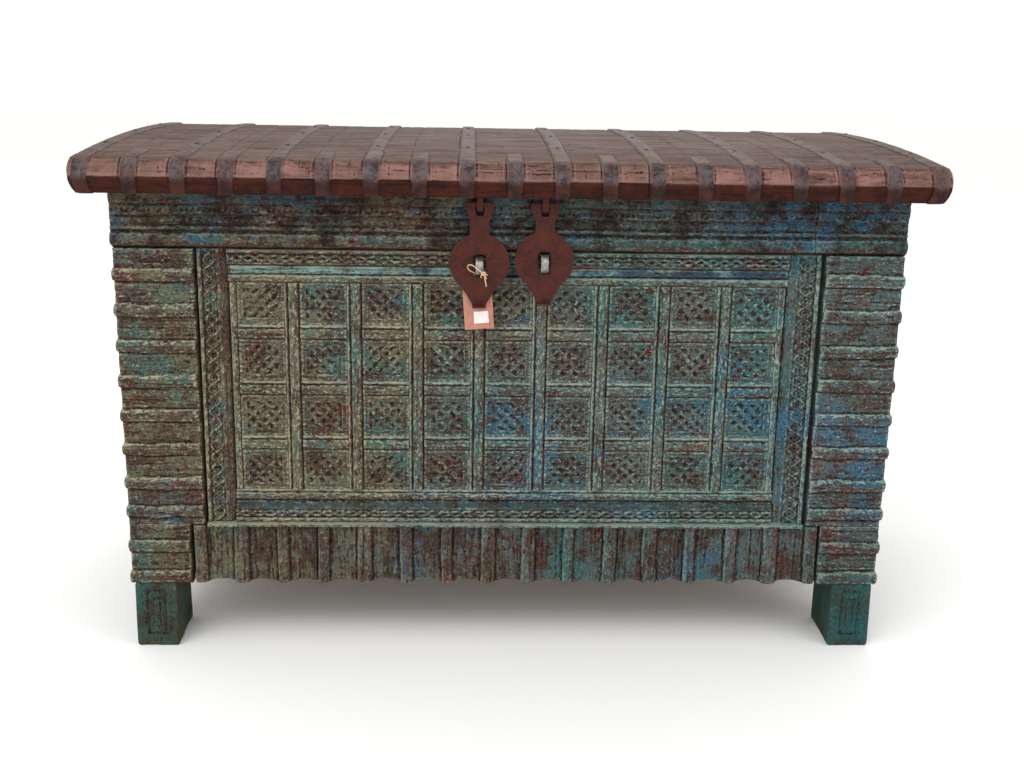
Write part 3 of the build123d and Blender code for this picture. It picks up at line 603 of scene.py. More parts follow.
def painted(name, along, worn, blue, pale, red=0.3, dark=0.0, low=0.0, inside=False, coats=(OLIVE, GREY_TEAL)):
    """Old paint in several coats: rubbed to the wood, paler where an edge looks up or left, as wear and a
    painted highlight, and browner and darker under it, as wear and painted shade.

    dark darkens all of it and low its lower parts; inside bares the wood on the box's inner faces.
    """
    g = Graph(name, specular=0.12)
    stretch = ALONG[along]
    relief = g.attribute("relief")
    x, y, z = g.axes()
    nx, ny, nz = g.normal()
    broad = g.noise(4.5, 3, 0.6)
    patch = g.noise(20, 5, 0.7, shift=3.1)
    streak = g.noise(150, 5, 0.7, stretch)
    blot = g.noise(85, 4, 0.7, shift=17.0)
    grit = g.noise(260, 4, 0.75, less_stretched(stretch), shift=1.3)
    fine = g.noise(520, 3, 0.7, shift=7.9)
    # Faces that look up, or to the left towards the key lamp, are painted paler as a painted highlight; faces
    # that look down are painted browner and darker as painted shade.
    leftward = nx * -0.85 * g.step(abs(ny), 0.15, 0.4)
    looks_up = g.step(g.math("MAXIMUM", nz, leftward), 0.4, 0.85)
    looks_down = g.step(g.math("MAXIMUM", -nz, leftward * -0.7), -0.02, 0.4)
    side = g.step((broad - 0.5) * 1.6 + x, -0.4, 0.4)
    colour = g.mix(*coats, side)
    loose = streak * 0.45 + (blot * 0.3 - 0.375)
    field = g.noise(6.5, 4, 0.6, (0.6, 1, 1), shift=11.0) + x * 0.08 + loose * 0.9
    near_ledge = g.step(abs(z - NEAR_LEDGE), *LEDGE_REACH)
    field = field + (near_ledge * 0.07 + g.step(z, *BLUER_UP) * 0.02)
    colour = g.mix(colour, TEAL, g.step(g.noise(9, 4, 0.6, shift=23.0) + loose, 0.49, 0.58) * 0.65)
    colour = g.mix(colour, BLUE, g.step(field, 0.56 - 0.08 * blue, 0.64) * (0.35 + 0.65 * blue))
    rubbed = patch * 0.4 + (streak * 0.3 + blot * 0.3)
    rubbed = rubbed + (looks_down * 0.1 + side * -0.02)
    bare = g.mix(BARE_WOOD, DARK_WOOD, g.step(streak * 0.6 + grit * 0.4, 0.42, 0.6))
    colour = g.mix(colour, bare, g.step(rubbed, 0.54 - 0.1 * worn, 0.6 - 0.1 * worn) * 0.88)
    redden = g.noise(13, 4, 0.65, shift=31.0) + (loose + looks_down * 0.06)
    colour = g.mix(colour, RED, g.step(redden, 0.66 - 0.16 * red, 0.74 - 0.14 * red) * 0.65)
    # Paler on proud edges and on faces that look up or left: worn paint and a painted highlight.
    light = relief * 0.3 + ((grit - 0.5) * 2.6 + looks_up * 0.5)
    pale_paint = g.mix(CREAM, MINT, side * 0.6 + g.step(patch, 0.45, 0.6) * 0.4)
    colour = g.mix(colour, pale_paint, g.step(light, 0.22, 0.5) * pale)
    colour = g.mix(colour, CREAM, g.step(fine, 0.55, 0.64) * (0.5 * pale + 0.05))
    across_field = (abs(x) < FIELD_HALF) * (y < FIELD_BACK)
    under = g.band(z, *UNDER_FIELD) * across_field
    colour = g.mix(colour, rgb(46, 62, 58), under * g.step(blot, 0.7, 0.3))
    over = g.band(z, *OVER_FIELD) * across_field
    over_paint = g.mix(MINT, BLUE, g.step(patch + x * 0.35, 0.42, 0.6))
    colour = g.mix(colour, over_paint, over * (g.step(streak, 0.64, 0.42) * 0.7))
    pits = g.noise(280, 4, 0.75, less_stretched(stretch), shift=41.0)
    # Darker in recesses and pits: dirt and painted shade.
    hollow_dirt_and_shade = relief * -0.35 + (pits - 0.5) * 2.6 + looks_down * 0.08
    colour = g.mix(colour, SHADE_AND_DIRT, g.step(hollow_dirt_and_shade, 0.1, 0.42) * 0.85)
    # Darker in patches, darker near the top as dirt and painted shade under the lid's overhang, and darker near
    # the floor by low.
    dirt_and_shade = g.step(patch, 0.42, 0.7) * (0.25 + dark) + g.step(z, *DIRT_AND_SHADE_UNDER_LID) * 0.22
    dirt_and_shade = dirt_and_shade + g.step(z, *DARKER_DOWN) * low
    colour = g.mix(colour, SHADE_AND_DIRT, dirt_and_shade)
    if inside:
        within = (abs(x) < INSIDE_X) * (y > INSIDE_FRONT) * ((y < INSIDE_BACK) * (z > INSIDE_LOW))
        plain = g.mix(INNER_LIGHT, INNER_DEEP, g.step(streak * 0.6 + patch * 0.4, 0.35, 0.65))
        colour = g.mix(colour, plain, within)
    roughness = 0.72 + (streak + grit) * 0.14
    bump = streak * 0.6 + grit * 0.6 + (fine * 0.3 + blot * 0.3)
    return g.done(colour, roughness, bump, 0.0014)


def inner_wood(along):
    """Bare wood with its grain along one axis."""
    g = Graph("inner_wood_" + along, specular=0.4)
    stretch = ALONG[along]
    relief = g.attribute("relief")
    streak = g.noise(120, 5, 0.65, stretch, twist=0.4)
    broad = g.noise(6, 3, 0.6, shift=2.2, stretch=[0.5 + 0.5 * s for s in stretch])
    grit = g.noise(420, 3, 0.65, shift=4.0)
    mottle = streak * 0.65 + broad * 0.35
    colour = g.mix(rgb(122, 92, 66), rgb(74, 54, 40), g.step(mottle, 0.36, 0.64))
    colour = g.mix(colour, rgb(150, 128, 110), g.step(relief + grit * 0.5, 0.35, 0.9) * 0.3)
    # Darker in recesses: dirt and painted shade.
    colour = g.mix(colour, SHADE_AND_DIRT, g.step(-relief + grit * 0.4, 0.25, 0.8) * 0.8)
    colour = g.mix(colour, SHADE_AND_DIRT, g.step(grit, 0.62, 0.76) * 0.35)
    return g.done(colour, 0.5 + streak * 0.26, streak * 0.8 + grit * 0.4, 0.001)


def lid_wood():
    """The lid: red-brown varnish, greyed on top by dust and a painted sheen, and darker on the frame's upright
    face, partly as painted shade.
    """
    g = Graph("lid_wood", specular=0.14)
    relief = g.attribute("relief")
    up = g.normal()[2]
    z = g.axes()[2]
    streak = g.noise(110, 5, 0.7, ALONG["x"], twist=0.3)
    broad = g.noise(5, 4, 0.6, shift=2.2, stretch=(0.5, 1, 1))
    patch = g.noise(24, 4, 0.65, shift=8.0)
    grit = g.noise(260, 4, 0.72, shift=4.0)
    mottle = streak * 0.5 + patch * 0.5
    front = g.mix(rgb(138, 100, 95), rgb(70, 44, 41), g.step(mottle, 0.42, 0.62))
    front = g.mix(front, rgb(110, 86, 74), g.step(broad, 0.45, 0.6) * 0.5)
    # The top is painted greyer than the front: dust and a painted sheen.
    top = g.mix(rgb(104, 84, 74), rgb(74, 56, 50), g.step(streak * 0.7 + broad * 0.3, 0.42, 0.58))
    reddish = g.step(broad * 0.7 + patch * 0.3, 0.5, 0.66)
    top = g.mix(top, rgb(98, 62, 48), reddish * 0.45)
    colour = g.mix(front, top, g.step(up, 0.75, 0.99))
    # Below the lip the frame's face is painted dark red-brown, partly as painted shade.
    lower = g.mix(rgb(64, 23, 14), rgb(30, 10, 7), g.step(mottle, 0.4, 0.6))
    lower = g.mix(lower, rgb(72, 34, 12), g.step(patch, 0.54, 0.68) * 0.5)
    colour = g.mix(lower, colour, g.step(z, (LIP - 1.5) * MM, (LIP + 1.5) * MM))
    edges = g.step(relief * 0.7 + grit * 0.6, 0.5, 0.95)
    colour = g.mix(colour, rgb(160, 124, 114), edges * g.step(z, 0.826, 0.83) * 0.5)
    # Darker in cracks and recesses: dirt and painted shade.
    cracks = g.step(-relief + grit * 0.4, 0.3, 0.75)
    colour = g.mix(colour, rgb(26, 14, 12), cracks * 0.85)
    colour = g.mix(colour, rgb(40, 26, 23), g.step(grit, 0.56, 0.7) * 0.4)
    plain = g.mix(INNER_LIGHT, INNER_DEEP, g.step(streak * 0.65 + broad * 0.35, 0.38, 0.62))
    beneath = g.step(up, -0.3, -0.7) * g.step(z, (LID_LOW + 3) * MM, (LID_LOW + 6) * MM)
    colour = g.mix(colour, plain, beneath)
    roughness = 0.52 + (streak + patch) * 0.16
    bump = streak * 0.7 + (grit * 0.4 + patch * 0.4)
    return g.done(colour, roughness, bump, 0.0011)


def strap_metal():
    """Hammered iron strips: dusty like the wood on top, blue-grey and rubbed in front, and darker below the
    lip, as stain and painted shade.
    """
    g = Graph("strap_iron", specular=0.22)
    relief = g.attribute("relief")
    up = g.normal()[2]
    z = g.axes()[2]
    patch = g.noise(40, 5, 0.65, shift=1.0)
    pits = g.noise(200, 4, 0.7, shift=9.0)
    front = g.mix(rgb(90, 77, 80), rgb(50, 37, 38), g.step(patch * 0.6 + pits * 0.4, 0.42, 0.6))
    front = g.mix(front, rgb(92, 56, 46), g.step(g.noise(30, 4, 0.6, shift=6.0), 0.5, 0.62) * 0.55)
    top = g.mix(rgb(98, 77, 67), rgb(72, 53, 46), g.step(patch * 0.5 + pits * 0.5, 0.42, 0.6))
    colour = g.mix(front, top, g.step(up, 0.8, 0.99))
    # Below the lip the strips are painted dark red-brown, partly as painted shade.
    lower = g.mix(rgb(62, 28, 19), rgb(36, 17, 13), g.step(patch, 0.42, 0.6))
    colour = g.mix(lower, colour, g.step(z, (LIP - 8) * MM, (LIP + 6) * MM))
    rubbed = g.step(relief + pits * 0.6, 0.85, 1.2)
    colour = g.mix(colour, rgb(140, 124, 118), rubbed * g.step(z, 0.826, 0.84) * 0.45)
    colour = g.mix(colour, rgb(30, 20, 18), g.step(pits, 0.56, 0.7) * 0.5)
    roughness = 0.42 + (patch + pits) * 0.2
    return g.done(colour, roughness, pits * 0.8 + patch * 0.5, 0.0009)


def iron(name, light, deep, rust, rusty, roughness, metallic):
    """Forged iron with rust and rubbed edges."""
    g = Graph(name, metallic=metallic, specular=0.25)
    relief = g.attribute("relief")
    patch = g.noise(45, 5, 0.65, shift=1.0)
    grit = g.noise(520, 3, 0.7, shift=5.0)
    pits = g.noise(190, 3, 0.6, shift=9.0)
    colour = g.mix(deep, light, g.step(patch * 0.6 + pits * 0.4, 0.38, 0.64))
    colour = g.mix(colour, rust, g.step(patch * 0.5 + grit * 0.5, 0.62 - 0.2 * rusty, 0.7) * rusty)
    colour = g.mix(colour, light, g.step(relief + pits * 0.4, 0.4, 0.9) * 0.7)
    colour = g.mix(colour, SHADE_AND_DIRT, g.step(-relief + pits * 0.4, 0.3, 0.9) * 0.6)
    rough = roughness - 0.15 + (patch + grit) * 0.16
    return g.done(colour, rough, pits * 0.7 + grit * 0.4, 0.0008)


def fibre(name, base, fleck, scale):
    """Paper, card or twine: short flecks in a pale ground."""
    g = Graph(name, roughness=0.9, specular=0.2)
    flecks = g.noise(scale, 4, 0.7, (1, 1, 0.35))
    cloud = g.noise(60, 3, 0.6, shift=3.0)
    colour = g.mix(base, fleck, g.step(flecks * 0.6 + cloud * 0.4, 0.42, 0.66) * 0.6)
    return g.done(colour, 0.8 + flecks * 0.15, flecks, 0.0004)


paint_x = painted("carved_paint_x", "x", worn=0.45, blue=0.45, pale=0.6, low=0.12)
paint_z = painted("carved_paint_z", "z", worn=0.4, blue=0.45, pale=0.6)
paint_rail = painted("top_rail_paint", "x", worn=0.6, blue=0.8, red=0.35, pale=0.35, dark=0.38)
paint_ribs = painted("pilaster_paint", "x", worn=0.6, blue=0.4, red=0.5, pale=0.6, low=0.16)
paint_apron = painted("apron_paint", "z", worn=0.7, blue=0.35, red=0.35, pale=0.3, dark=0.1)
paint_post = painted("post_paint", "z", worn=0.25, blue=-0.4, red=0.15, pale=0.15, dark=0.1,
                     inside=True, coats=(rgb(52, 70, 58), rgb(42, 68, 62)))
paint_wall = painted("wall_paint_x", "x", worn=0.5, blue=0.25, red=0.2, pale=0.35, dark=0.1, inside=True)
paint_side = painted("wall_paint_y", "y", worn=0.5, blue=0.25, red=0.2, pale=0.35, dark=0.1, inside=True)
varnished = lid_wood()
inner_x, inner_y, inner_z = [inner_wood(axis) for axis in "xyz"]
strap_iron = strap_metal()
hasp_iron = iron("hasp_iron", rgb(78, 31, 23), rgb(54, 19, 13), rgb(70, 25, 16), 0.6, 0.64, 0.0)
hinge_iron = iron("hinge_iron", rgb(74, 60, 54), rgb(42, 33, 30), rgb(82, 46, 32), 0.6, 0.62, 0.3)
staple_steel = iron("staple_steel", rgb(190, 184, 180), rgb(118, 112, 110), rgb(110, 84, 70), 0.2, 0.4, 0.8)
tag_card = fibre("tag_card", rgb(184, 129, 112), rgb(150, 98, 84), 260)
tag_paper = fibre("tag_paper", rgb(246, 232, 228), rgb(226, 208, 202), 300)
twine_fibre = fibre("twine_fibre", rgb(232, 196, 156), rgb(170, 126, 88), 500)


# ---- Front: pilasters ----
def ribbed(inner, face_height, rib_proud):
    """Height of a board with worn ribs across it, above inner mm from the middle."""

    def height(u, v):
        h = face_height + grain(u, v, 11, 0.5) + pitted(u, v, 12, 0.45)
        saw_marks = np.sin(v * 2 * math.pi / 6.2 + 2 * noise(u / 70, v / 20, 5))
        h += 0.4 * saw_marks * rise(fbm(u / 60, v / 30, 8), -0.3, 0.3)
        for number, z in enumerate(RIBS):
            up = v - z - noise(u / 40, u * 0 + number, 21) * 1.6
            body = half_round(up, RIB_HEIGHT * (1 + 0.08 * math.sin(number * 2.4)), rib_proud)
            body = np.minimum(body, rib_proud * 0.85) * (0.8 + 0.2 * rise(up, -9, 4))
            reach = rise(np.abs(u), inner + 1, inner + 4)
            h += body * reach * (1 + 0.22 * fbm(u / 22, v / 15, 31 + number))
            h += groove(up - RIB_HEIGHT / 2, 4, 0.8) + groove(up + RIB_HEIGHT / 2, 5, 1.4)
        return h + chips(u, v, 61, 1.8, 13)

    return height


def rib_outline(v, seed):
    """How far a facing's side edge stands out beside its ribs, with some unevenness."""
    return 3.0 * sum(half_round(v - z, RIB_HEIGHT, 1.0) for z in RIBS) + 0.9 * fbm(v / 14, v * 0, seed)


FACING_PARTS = ((FACING_INNER, (LEDGE, TOP_RAIL_LOW - 0.3)), (FACING_INNER_LOW, (FOOT_HEIGHT, LEDGE - 0.4)))
for name, sign in (("left", -1), ("right", 1)):
    shape = Shape()
    for inner, z in FACING_PARTS:
        outer = lambda v, s=sign: s * (rib_outline(v, 70 + s) - 1.2)
        nearer = lambda v, s=sign: s * 0.6 * fbm(v / 12, v * 0, 80 + s)
        u = sorted((sign * inner, sign * SIDE))
        edges = {"right": outer, "left": nearer} if sign > 0 else {"left": outer, "right": nearer}
        board(shape, "front", u, z, 1.75, ribbed(inner, FRONT, 6.0), PANEL, **edges)
    shape.piece("pilaster_" + name, "_ribbed", paint_ribs)

# ---- Front: top rail ----
RAIL_PROFILE = [  # (z, height) up the moulding
    (708, 293), (712, 298), (715, 304), (719, 306.3), (723.5, 307), (728, 306.3), (732, 304), (735.5, 299.4),
    (738, 299), (740, 301.4), (741.5, 302), (743, 301.4), (745, 299), (762, 299), (765, 301), (780, 301),
    (783, 303), (RIM, 303),
]


def rail_height(u, v):
    """The top rail: half round, a row of leaves, a row of crescents and a plain rim."""
    z, out = np.array(RAIL_PROFILE).T
    up = v + 0.8 * noise(u / 120, u * 0, 3)
    h = np.interp(up, z, out) + grain(u, v, 14, 0.4) + pitted(u, v, 15, 0.5)
    du, dv = off_middle(u, CARVING_PITCH), up - LEAVES
    leaf = 1 - (np.abs(du) / 10.5) ** 1.6 - (np.abs(dv) / 7.0) ** 1.8
    h += np.where(leaf > 0, 2.0 * np.sqrt(np.clip(leaf, 0, 1)), 0) - rise(v, 745, 746) * rise(-v, -762, -761)
    h += groove(np.abs(du) - np.abs(dv) * 0.5, 3.0, 1.4) * (leaf > 0)
    crescent, inner = np.hypot(du, up - CRESCENTS), np.hypot(du, up - CRESCENT_CUT)
    h += -1.8 * (1 - rise(crescent, 5.5, 7.5)) * rise(inner, 4.0, 6.0)
    h += dots(u + CARVING_PITCH / 2, up - CRESCENTS, CARVING_PITCH, 2.6, 1.5)
    h += groove(up - 763, 3, 1.2) + groove(up - 781.5, 3, 1.2)
    return h + chips(u, v, 18, 1.6, 12) + 0.5 * fbm(u / 60, v / 20, 19)


for name, ends in (("front_top_rail", (-SIDE, RAIL_JOINT)), ("front_top_rail_end", (RAIL_JOINT + 0.4, SIDE))):
    edge = lambda v: 0.9 * fbm(v / 10, v * 0, 90)
    rail = board(Shape(), "front", ends, (TOP_RAIL_LOW, RIM), 1.9, rail_height, PANEL, left=edge, right=edge)
    rail.piece(name, "_carved", paint_rail)


# ---- Front: border ----
def border_height(along, across, width, bevel, seed):
    """A border strip: bead, braided band with drilled eyes, then a bevel. across is 0 at its outer edge."""
    flat = width - bevel
    carved = 1 - 0.85 * rise(across, flat - 1, flat + 2)  # the bevel is nearly smooth
    h = FRONT - 6 + grain(along, across, seed, 0.35) + carved * pitted(along, across, seed + 11, 0.8)
    h += half_round(across - 4, 6, 3.0) + groove(across - 8, 3, 1.4)
    middle, half = (8 + flat) / 2, (flat - 10) / 2
    pitch = 20.0
    swing = (half - 1.8) * np.sin(math.pi * along / pitch)
    over = np.cos(math.pi * along / pitch)
    band = rise(-np.abs(across - middle), -half - 1.5, -half)
    strand = half_round(across - middle - swing, 6.0, 3.9) * (1 + 0.18 * over)
    crossing = half_round(across - middle + swing, 6.0, 3.4) * (1 - 0.18 * over)
    wear = 0.62 + 0.35 * fbm(along / 14, across / 7, seed + 13)
    h += band * (np.maximum(strand, crossing) * wear - 1.3)
    h += dots(along - pitch / 2, across - middle, pitch, 2.6, 3.0) * band
    h += groove(across - flat + 1, 3, 1.3)
    h -= 8.0 * np.clip((across - flat) / bevel, 0, 1)
    return h + carved * chips(along, across, seed + 5, 1.3, 9) + 0.5 * fbm(along / 40, across / 20, seed + 7)


ACROSS, UP = (FIELD_LEFT, FIELD_RIGHT), (LEDGE + 3, TOP_RAIL_LOW)
STRIPS = {  # name: material, u, v, along and across from (u, v), width, bevel
    "left": (paint_z, (BORDER_LEFT, FIELD_LEFT), UP, lambda u, v: (v, u - BORDER_LEFT), 48, 16),
    "right": (paint_z, (FIELD_RIGHT, BORDER_RIGHT), UP, lambda u, v: (v, BORDER_RIGHT - u), 53, 16),
    "top": (paint_x, ACROSS, (FIELD_HIGH, TOP_RAIL_LOW), lambda u, v: (u, TOP_RAIL_LOW - v), 29, 6),
    "bottom": (paint_x, ACROSS, (LEDGE + 3, FIELD_LOW), lambda u, v: (u, v - LEDGE - 3), 36, 14),
}
for number, (name, (paint, u, v, turn, width, bevel)) in enumerate(STRIPS.items()):
    carving = lambda a, b, t=turn, w=width, c=bevel, s=100 + 20 * number: border_height(*t(a, b), w, c, s)
    strip = board(Shape(), "front", u, v, 1.6, carving, PANEL, edge=1.5)
    strip.piece("border_" + name, "_carved", paint)


# ---- Front: bars and carved squares ----
def bar_height(along, across, proud_by, seed):
    """A moulded bar between the squares: half round, with a quirk and a small bead on one side."""
    h = PANEL + 4.5 + half_round(across + 2.5, 17.5, proud_by - 4.5)
    h += half_round(across - 9.5, 5.0, proud_by * 0.34) + groove(across - 6.6, 2.6, 0.6)
    h += grain(along, across, seed, 0.4, 50) + 0.6 * fbm(along / 30, across / 12, seed + 3)
    h += pitted(along, across, seed + 4, 0.5)
    return h + chips(along, across, seed + 5, 2.0, 10)


def weave(p, q, seed):
    """A carved square's middle: bands crossing on the slant, over and under, with deep pits between."""
    rng = np.random.default_rng(seed)
    pitch = rng.uniform(13.0, 15.5)
    a = (p + q) / math.sqrt(2) + rng.uniform(-3, 3)
    b = (p - q) / math.sqrt(2) + rng.uniform(-3, 3)
    if rng.random() < 0.25:
        a, b = b, a
    main = half_round(off_middle(a, pitch), 10.5, 4.6)
    cross = half_round(off_middle(b, pitch), 8.0, 4.0)
    over = np.sin(math.pi * a / pitch) * np.sin(math.pi * b / pitch)
    split = groove(off_middle(a, pitch), 2.4, 1.0)
    if rng.random() < 0.2:
        ray = half_round(np.abs(p) - np.abs(q), 9.0, 4.6)
        cross = np.maximum(cross * 0.6, ray)
    return np.maximum(main + 0.9 * over + split, cross - 0.6 * over)


def square_height(p, q, half, seed):
    """A carved square about its middle: lines and dots round the edge, and woven bands within."""
    past = np.abs(p) - (half[0] - half[1])
    m = half[1] - np.maximum(past, np.abs(q))
    along = np.where(past > np.abs(q), q, p)
    worn = 0.72 + 0.4 * fbm(p / 16, q / 16, seed + 2, 2)
    h = PANEL + 5.0 + groove(m - 2.2, 2.4, 1.1) + groove(m - 8.2, 2.0, 1.1)
    h += dots(along, m - 5.3, 4.6, 1.7, 1.3)
    h += rise(m, 9.0, 11.0) * (-4.0 + weave(p, q, seed) * 1.12 * worn)
    h += pitted(p, q, seed + 4, 0.6) + 0.5 * fbm(p / 14, q / 14, seed + 6, 2)
    return h + chips(p + 100 * (seed % 50), q, seed + 8, 1.4, 9)


def edge_bar(u, v, middle):
    """The narrow upright bar at either end of the squares."""
    h = PANEL + 2 + half_round(u - middle, 12.5, 6.5)
    return h + grain(v, u, 206, 0.4, 50) + chips(v, u, 207, 1.8, 10)


def bottom_bar(u, v):
    """The whole bar along the bottom of the squares."""
    middle, height = (FIELD_LOW + SQUARES_LOW) / 2, SQUARES_LOW - FIELD_LOW
    return bar_height(u, (v - middle) * BAR / height, 10.0, 220)


def top_bar(u, v):
    """A narrow whole bar along the top of the squares, and the smooth slope from it up to the border."""
    middle = (SQUARES_HIGH + SLOPE_LOW) / 2
    bar = PANEL + 2 + half_round(v - middle, EDGE_BAR, 7.0) + pitted(u, v, 222, 0.6) + chips(u, v, 223, 1.4, 10)
    part = np.clip((v - SLOPE_LOW) / (FIELD_HIGH - SLOPE_LOW), 0, 1)
    slope = PANEL + 3 + 5 * part + 0.4 * fbm(u / 40, v / 9, 224)
    return np.where(v > SLOPE_LOW, slope, bar) + groove(v - SLOPE_LOW, 2.6, 1.2)


stiles, rails, squares = Shape(), Shape(), Shape()
for i in range(COLUMNS + 1):
    x = FIELD_LEFT + i * COLUMN
    if 0 < i < COLUMNS:
        bar, width, edge = lambda u, v, c=x, s=200 + i: bar_height(v, c - u, 12.0, s), BAR, 0.5
    else:
        x += EDGE_BAR / 2 if i == 0 else -EDGE_BAR / 2
        bar, width, edge = lambda u, v, c=x: edge_bar(u, v, c), EDGE_BAR, 1.0
    board(stiles, "front", span(x, width / 2), (SQUARES_LOW, SQUARES_HIGH), 1.7, bar, PANEL, edge=edge)
board(rails, "front", ACROSS, (FIELD_LOW, SQUARES_LOW), 1.7, bottom_bar, PANEL, edge=0.5)
board(rails, "front", ACROSS, (SQUARES_HIGH, FIELD_HIGH), 1.5, top_bar, PANEL, edge=0.3)
SQUARE_HALF = ((COLUMN - BAR) / 2 - 0.2, (ROW - BAR) / 2 - 0.2)
for column in range(COLUMNS):
    x_low = FIELD_LEFT + column * COLUMN + BAR / 2
    x_high = x_low + COLUMN - BAR
    x = (x_low + x_high) / 2
    for row in range(1, ROWS):
        z = BAR_LOW + row * ROW
        bar = lambda u, v, c=z, s=230 + column + 10 * row: bar_height(u, v - c, 10.0, s)
        board(rails, "front", (x_low, x_high), span(z, BAR / 2), 1.7, bar, PANEL, edge=0.5)
    for row in range(ROWS):
        z, seed = BAR_LOW + (row + 0.5) * ROW, 7 * (300 + 10 * column + row)
        carving = lambda u, v, x=x, z=z, s=seed: square_height(u - x, v - z, SQUARE_HALF, s)
        spans = span(x, SQUARE_HALF[0]), span(z, SQUARE_HALF[1])
        board(squares, "front", *spans, 1.55, carving, PANEL, edge=0.5)
stiles.piece("field_stiles", "_moulded", paint_z)
rails.piece("field_rails", "_moulded", paint_x)
squares.piece("carved_squares", "_woven", paint_x)


# ---- Front: ledge and apron ----
def ledge_height(u, v):
    return FRONT + 3.4 + half_round(v - LEDGE, 6.4, 2.4) + grain(u, v, 24, 0.4) + chips(u, v, 25, 1.8, 12)


sag = lambda u: 0.7 * fbm(u / 60, u * 0, 26)
ledge_span = (BORDER_LEFT, BORDER_RIGHT), span(LEDGE, 3)
ledge = board(Shape(), "front", *ledge_span, 1.2, ledge_height, PANEL, low=sag, high=sag, edge=1.0)
ledge.piece("front_ledge", "_worn", paint_x)

APRON_PITCH = 2 * (APRON_SIDE - APRON_RIB / 2) / (APRON_RIBS - 1)


def apron_height(u, v):
    """The apron: uneven upright ribs with fine lines between them."""
    h = FRONT - 7 + grain(v, u, 33, 0.6, 90) + 0.7 * fbm(u / 30, v / 60, 34) + pitted(v, u, 39, 0.45)
    lines = np.sin(u * 2 * math.pi / 7.0 + 3 * noise(u / 30, v / 90, 35)) * 0.3
    h += lines
    for i in range(APRON_RIBS):
        across = u - (-APRON_SIDE + APRON_RIB / 2 + i * APRON_PITCH) - noise(v / 60, v * 0 + i, 36) * 1.5
        width = APRON_RIB * (1 + 0.15 * math.sin(i * 1.9))
        rib = half_round(across, width, 8.2 + 0.8 * math.sin(i * 2.7))
        h += rib - lines * (rib > 0)
        h += groove(across - width / 2, 4, 1.6) + groove(across + width / 2, 4, 1.6)
    return h + chips(v, u, 37, 2.2, 14)


def apron_edge(u):
    """The apron's worn, scalloped lower edge."""
    to_middle = (u + APRON_SIDE - APRON_RIB / 2) % APRON_PITCH - APRON_PITCH / 2
    scallop = np.sqrt(50.0**2 - np.clip(np.abs(to_middle), 0, 49) ** 2) - 44
    return np.clip(scallop, 0, 6) * 0.8 + 1.0 + 1.3 * fbm(u / 25, u * 0, 38)


apron_span = (-APRON_SIDE, APRON_SIDE), (FOOT_HEIGHT, LEDGE - 3.2)
apron = board(Shape(), "front", *apron_span, 1.75, apron_height, PANEL, low=apron_edge)
apron.piece("front_apron", "_ribbed", paint_apron, "apron_paint")

# ---- Sides ----
for name, ends in (("front", (-PANEL, -POST_INNER)), ("back", (POST_INNER, 297.5))):
    shape = Shape()
    for face in ("right", "left"):
        u = ends if face == "right" else (-ends[1], -ends[0])
        board(shape, face, u, (FOOT_HEIGHT, RIM), 2.6, ribbed(0.0, SIDE - 0.4, 3.0), SIDE_FACING)
    shape.piece("side_facings_" + name, "_ribbed", paint_side, "wall_paint")


def side_rail_height(u, v):
    """A side's cross rail, with a groove near each edge and a run of crescents on the upper one."""
    upper = v > LEDGE + 1
    low, high = np.where(upper, TOP_RAIL_LOW, SIDE_RAIL_LOW), np.where(upper, RIM, LEDGE)
    h = SIDE - 1.4 + grain(u, v, 44, 0.45) + groove(v - low - 9, 5, 1.8) + groove(high - v - 9, 5, 1.8)
    du, dv = off_middle(u, CARVING_PITCH), v - (low + high) / 2
    h -= 2.2 * (1 - rise(np.hypot(du, dv), 6, 8)) * rise(np.hypot(du, dv - 3.5), 4, 6) * upper
    return h + chips(u, v, 46, 1.6, 14)


shape = Shape()
for face in ("right", "left"):
    for z in ((TOP_RAIL_LOW, RIM), (SIDE_RAIL_LOW, LEDGE)):
        board(shape, face, span(0, POST_INNER), z, 2.2, side_rail_height, 640.0)
shape.piece("side_rails", "_carved", paint_side, "wall_paint")


# ---- Posts, planks and floor ----
def foot_carving(points, normals):
    """Two nested upright panels cut into the front of a foot."""
    x, z = np.abs(points[:, 0]) - POST_X, points[:, 2] - FOOT_MIDDLE
    on_face = rise(np.abs(normals[:, 1]), 0.8, 0.95) * (z < 57)
    m = np.maximum(np.abs(x) - 15, np.abs(z) - 40)
    inner = np.maximum(np.abs(x) - 6, np.abs(z) - 26)
    return on_face * (groove(m, 7.0, 3.2) + groove(inner, 6.0, 2.6) + groove(x, 5.0, 1.6) * (inner < 0))


for depth, carve in (("front", foot_carving), ("back", None)):
    for seed, side in ((500, "left"), (501, "right")):
        post = "post_" + depth + "_" + side, "_worn", paint_post, "post_paint", "body"
        weathered(*post, 3.0, 1.1, (24, 24, 130), seed, carve)
timbers("front_planks", "_worn", paint_wall, 0, "carved_paint")
timbers("back_planks", "_worn", paint_wall, 0, "wall_paint", rough=0.8, step=7.0)
for side in ("left", "right"):
    timbers("side_planks_" + side, "_worn", paint_side, 1, "wall_paint", rough=0.8, step=7.0)
timbers("bottom_rails", "_sawn", inner_x, 0, "inner_wood")
timbers("floor_bearers", "_sawn", inner_y, 1, "inner_wood")
timbers("floor_boards", "_sawn", inner_x, 0, "inner_wood", rough=0.7)
timbers("back_battens", "_sawn", inner_z, 2, "inner_wood")

# ---- Lid ----
DOME_R = (SHOULDER_Y**2 + (CREST - SHOULDER_Z) ** 2) / (2 * (CREST - SHOULDER_Z))
DOME_Z = CREST - DOME_R


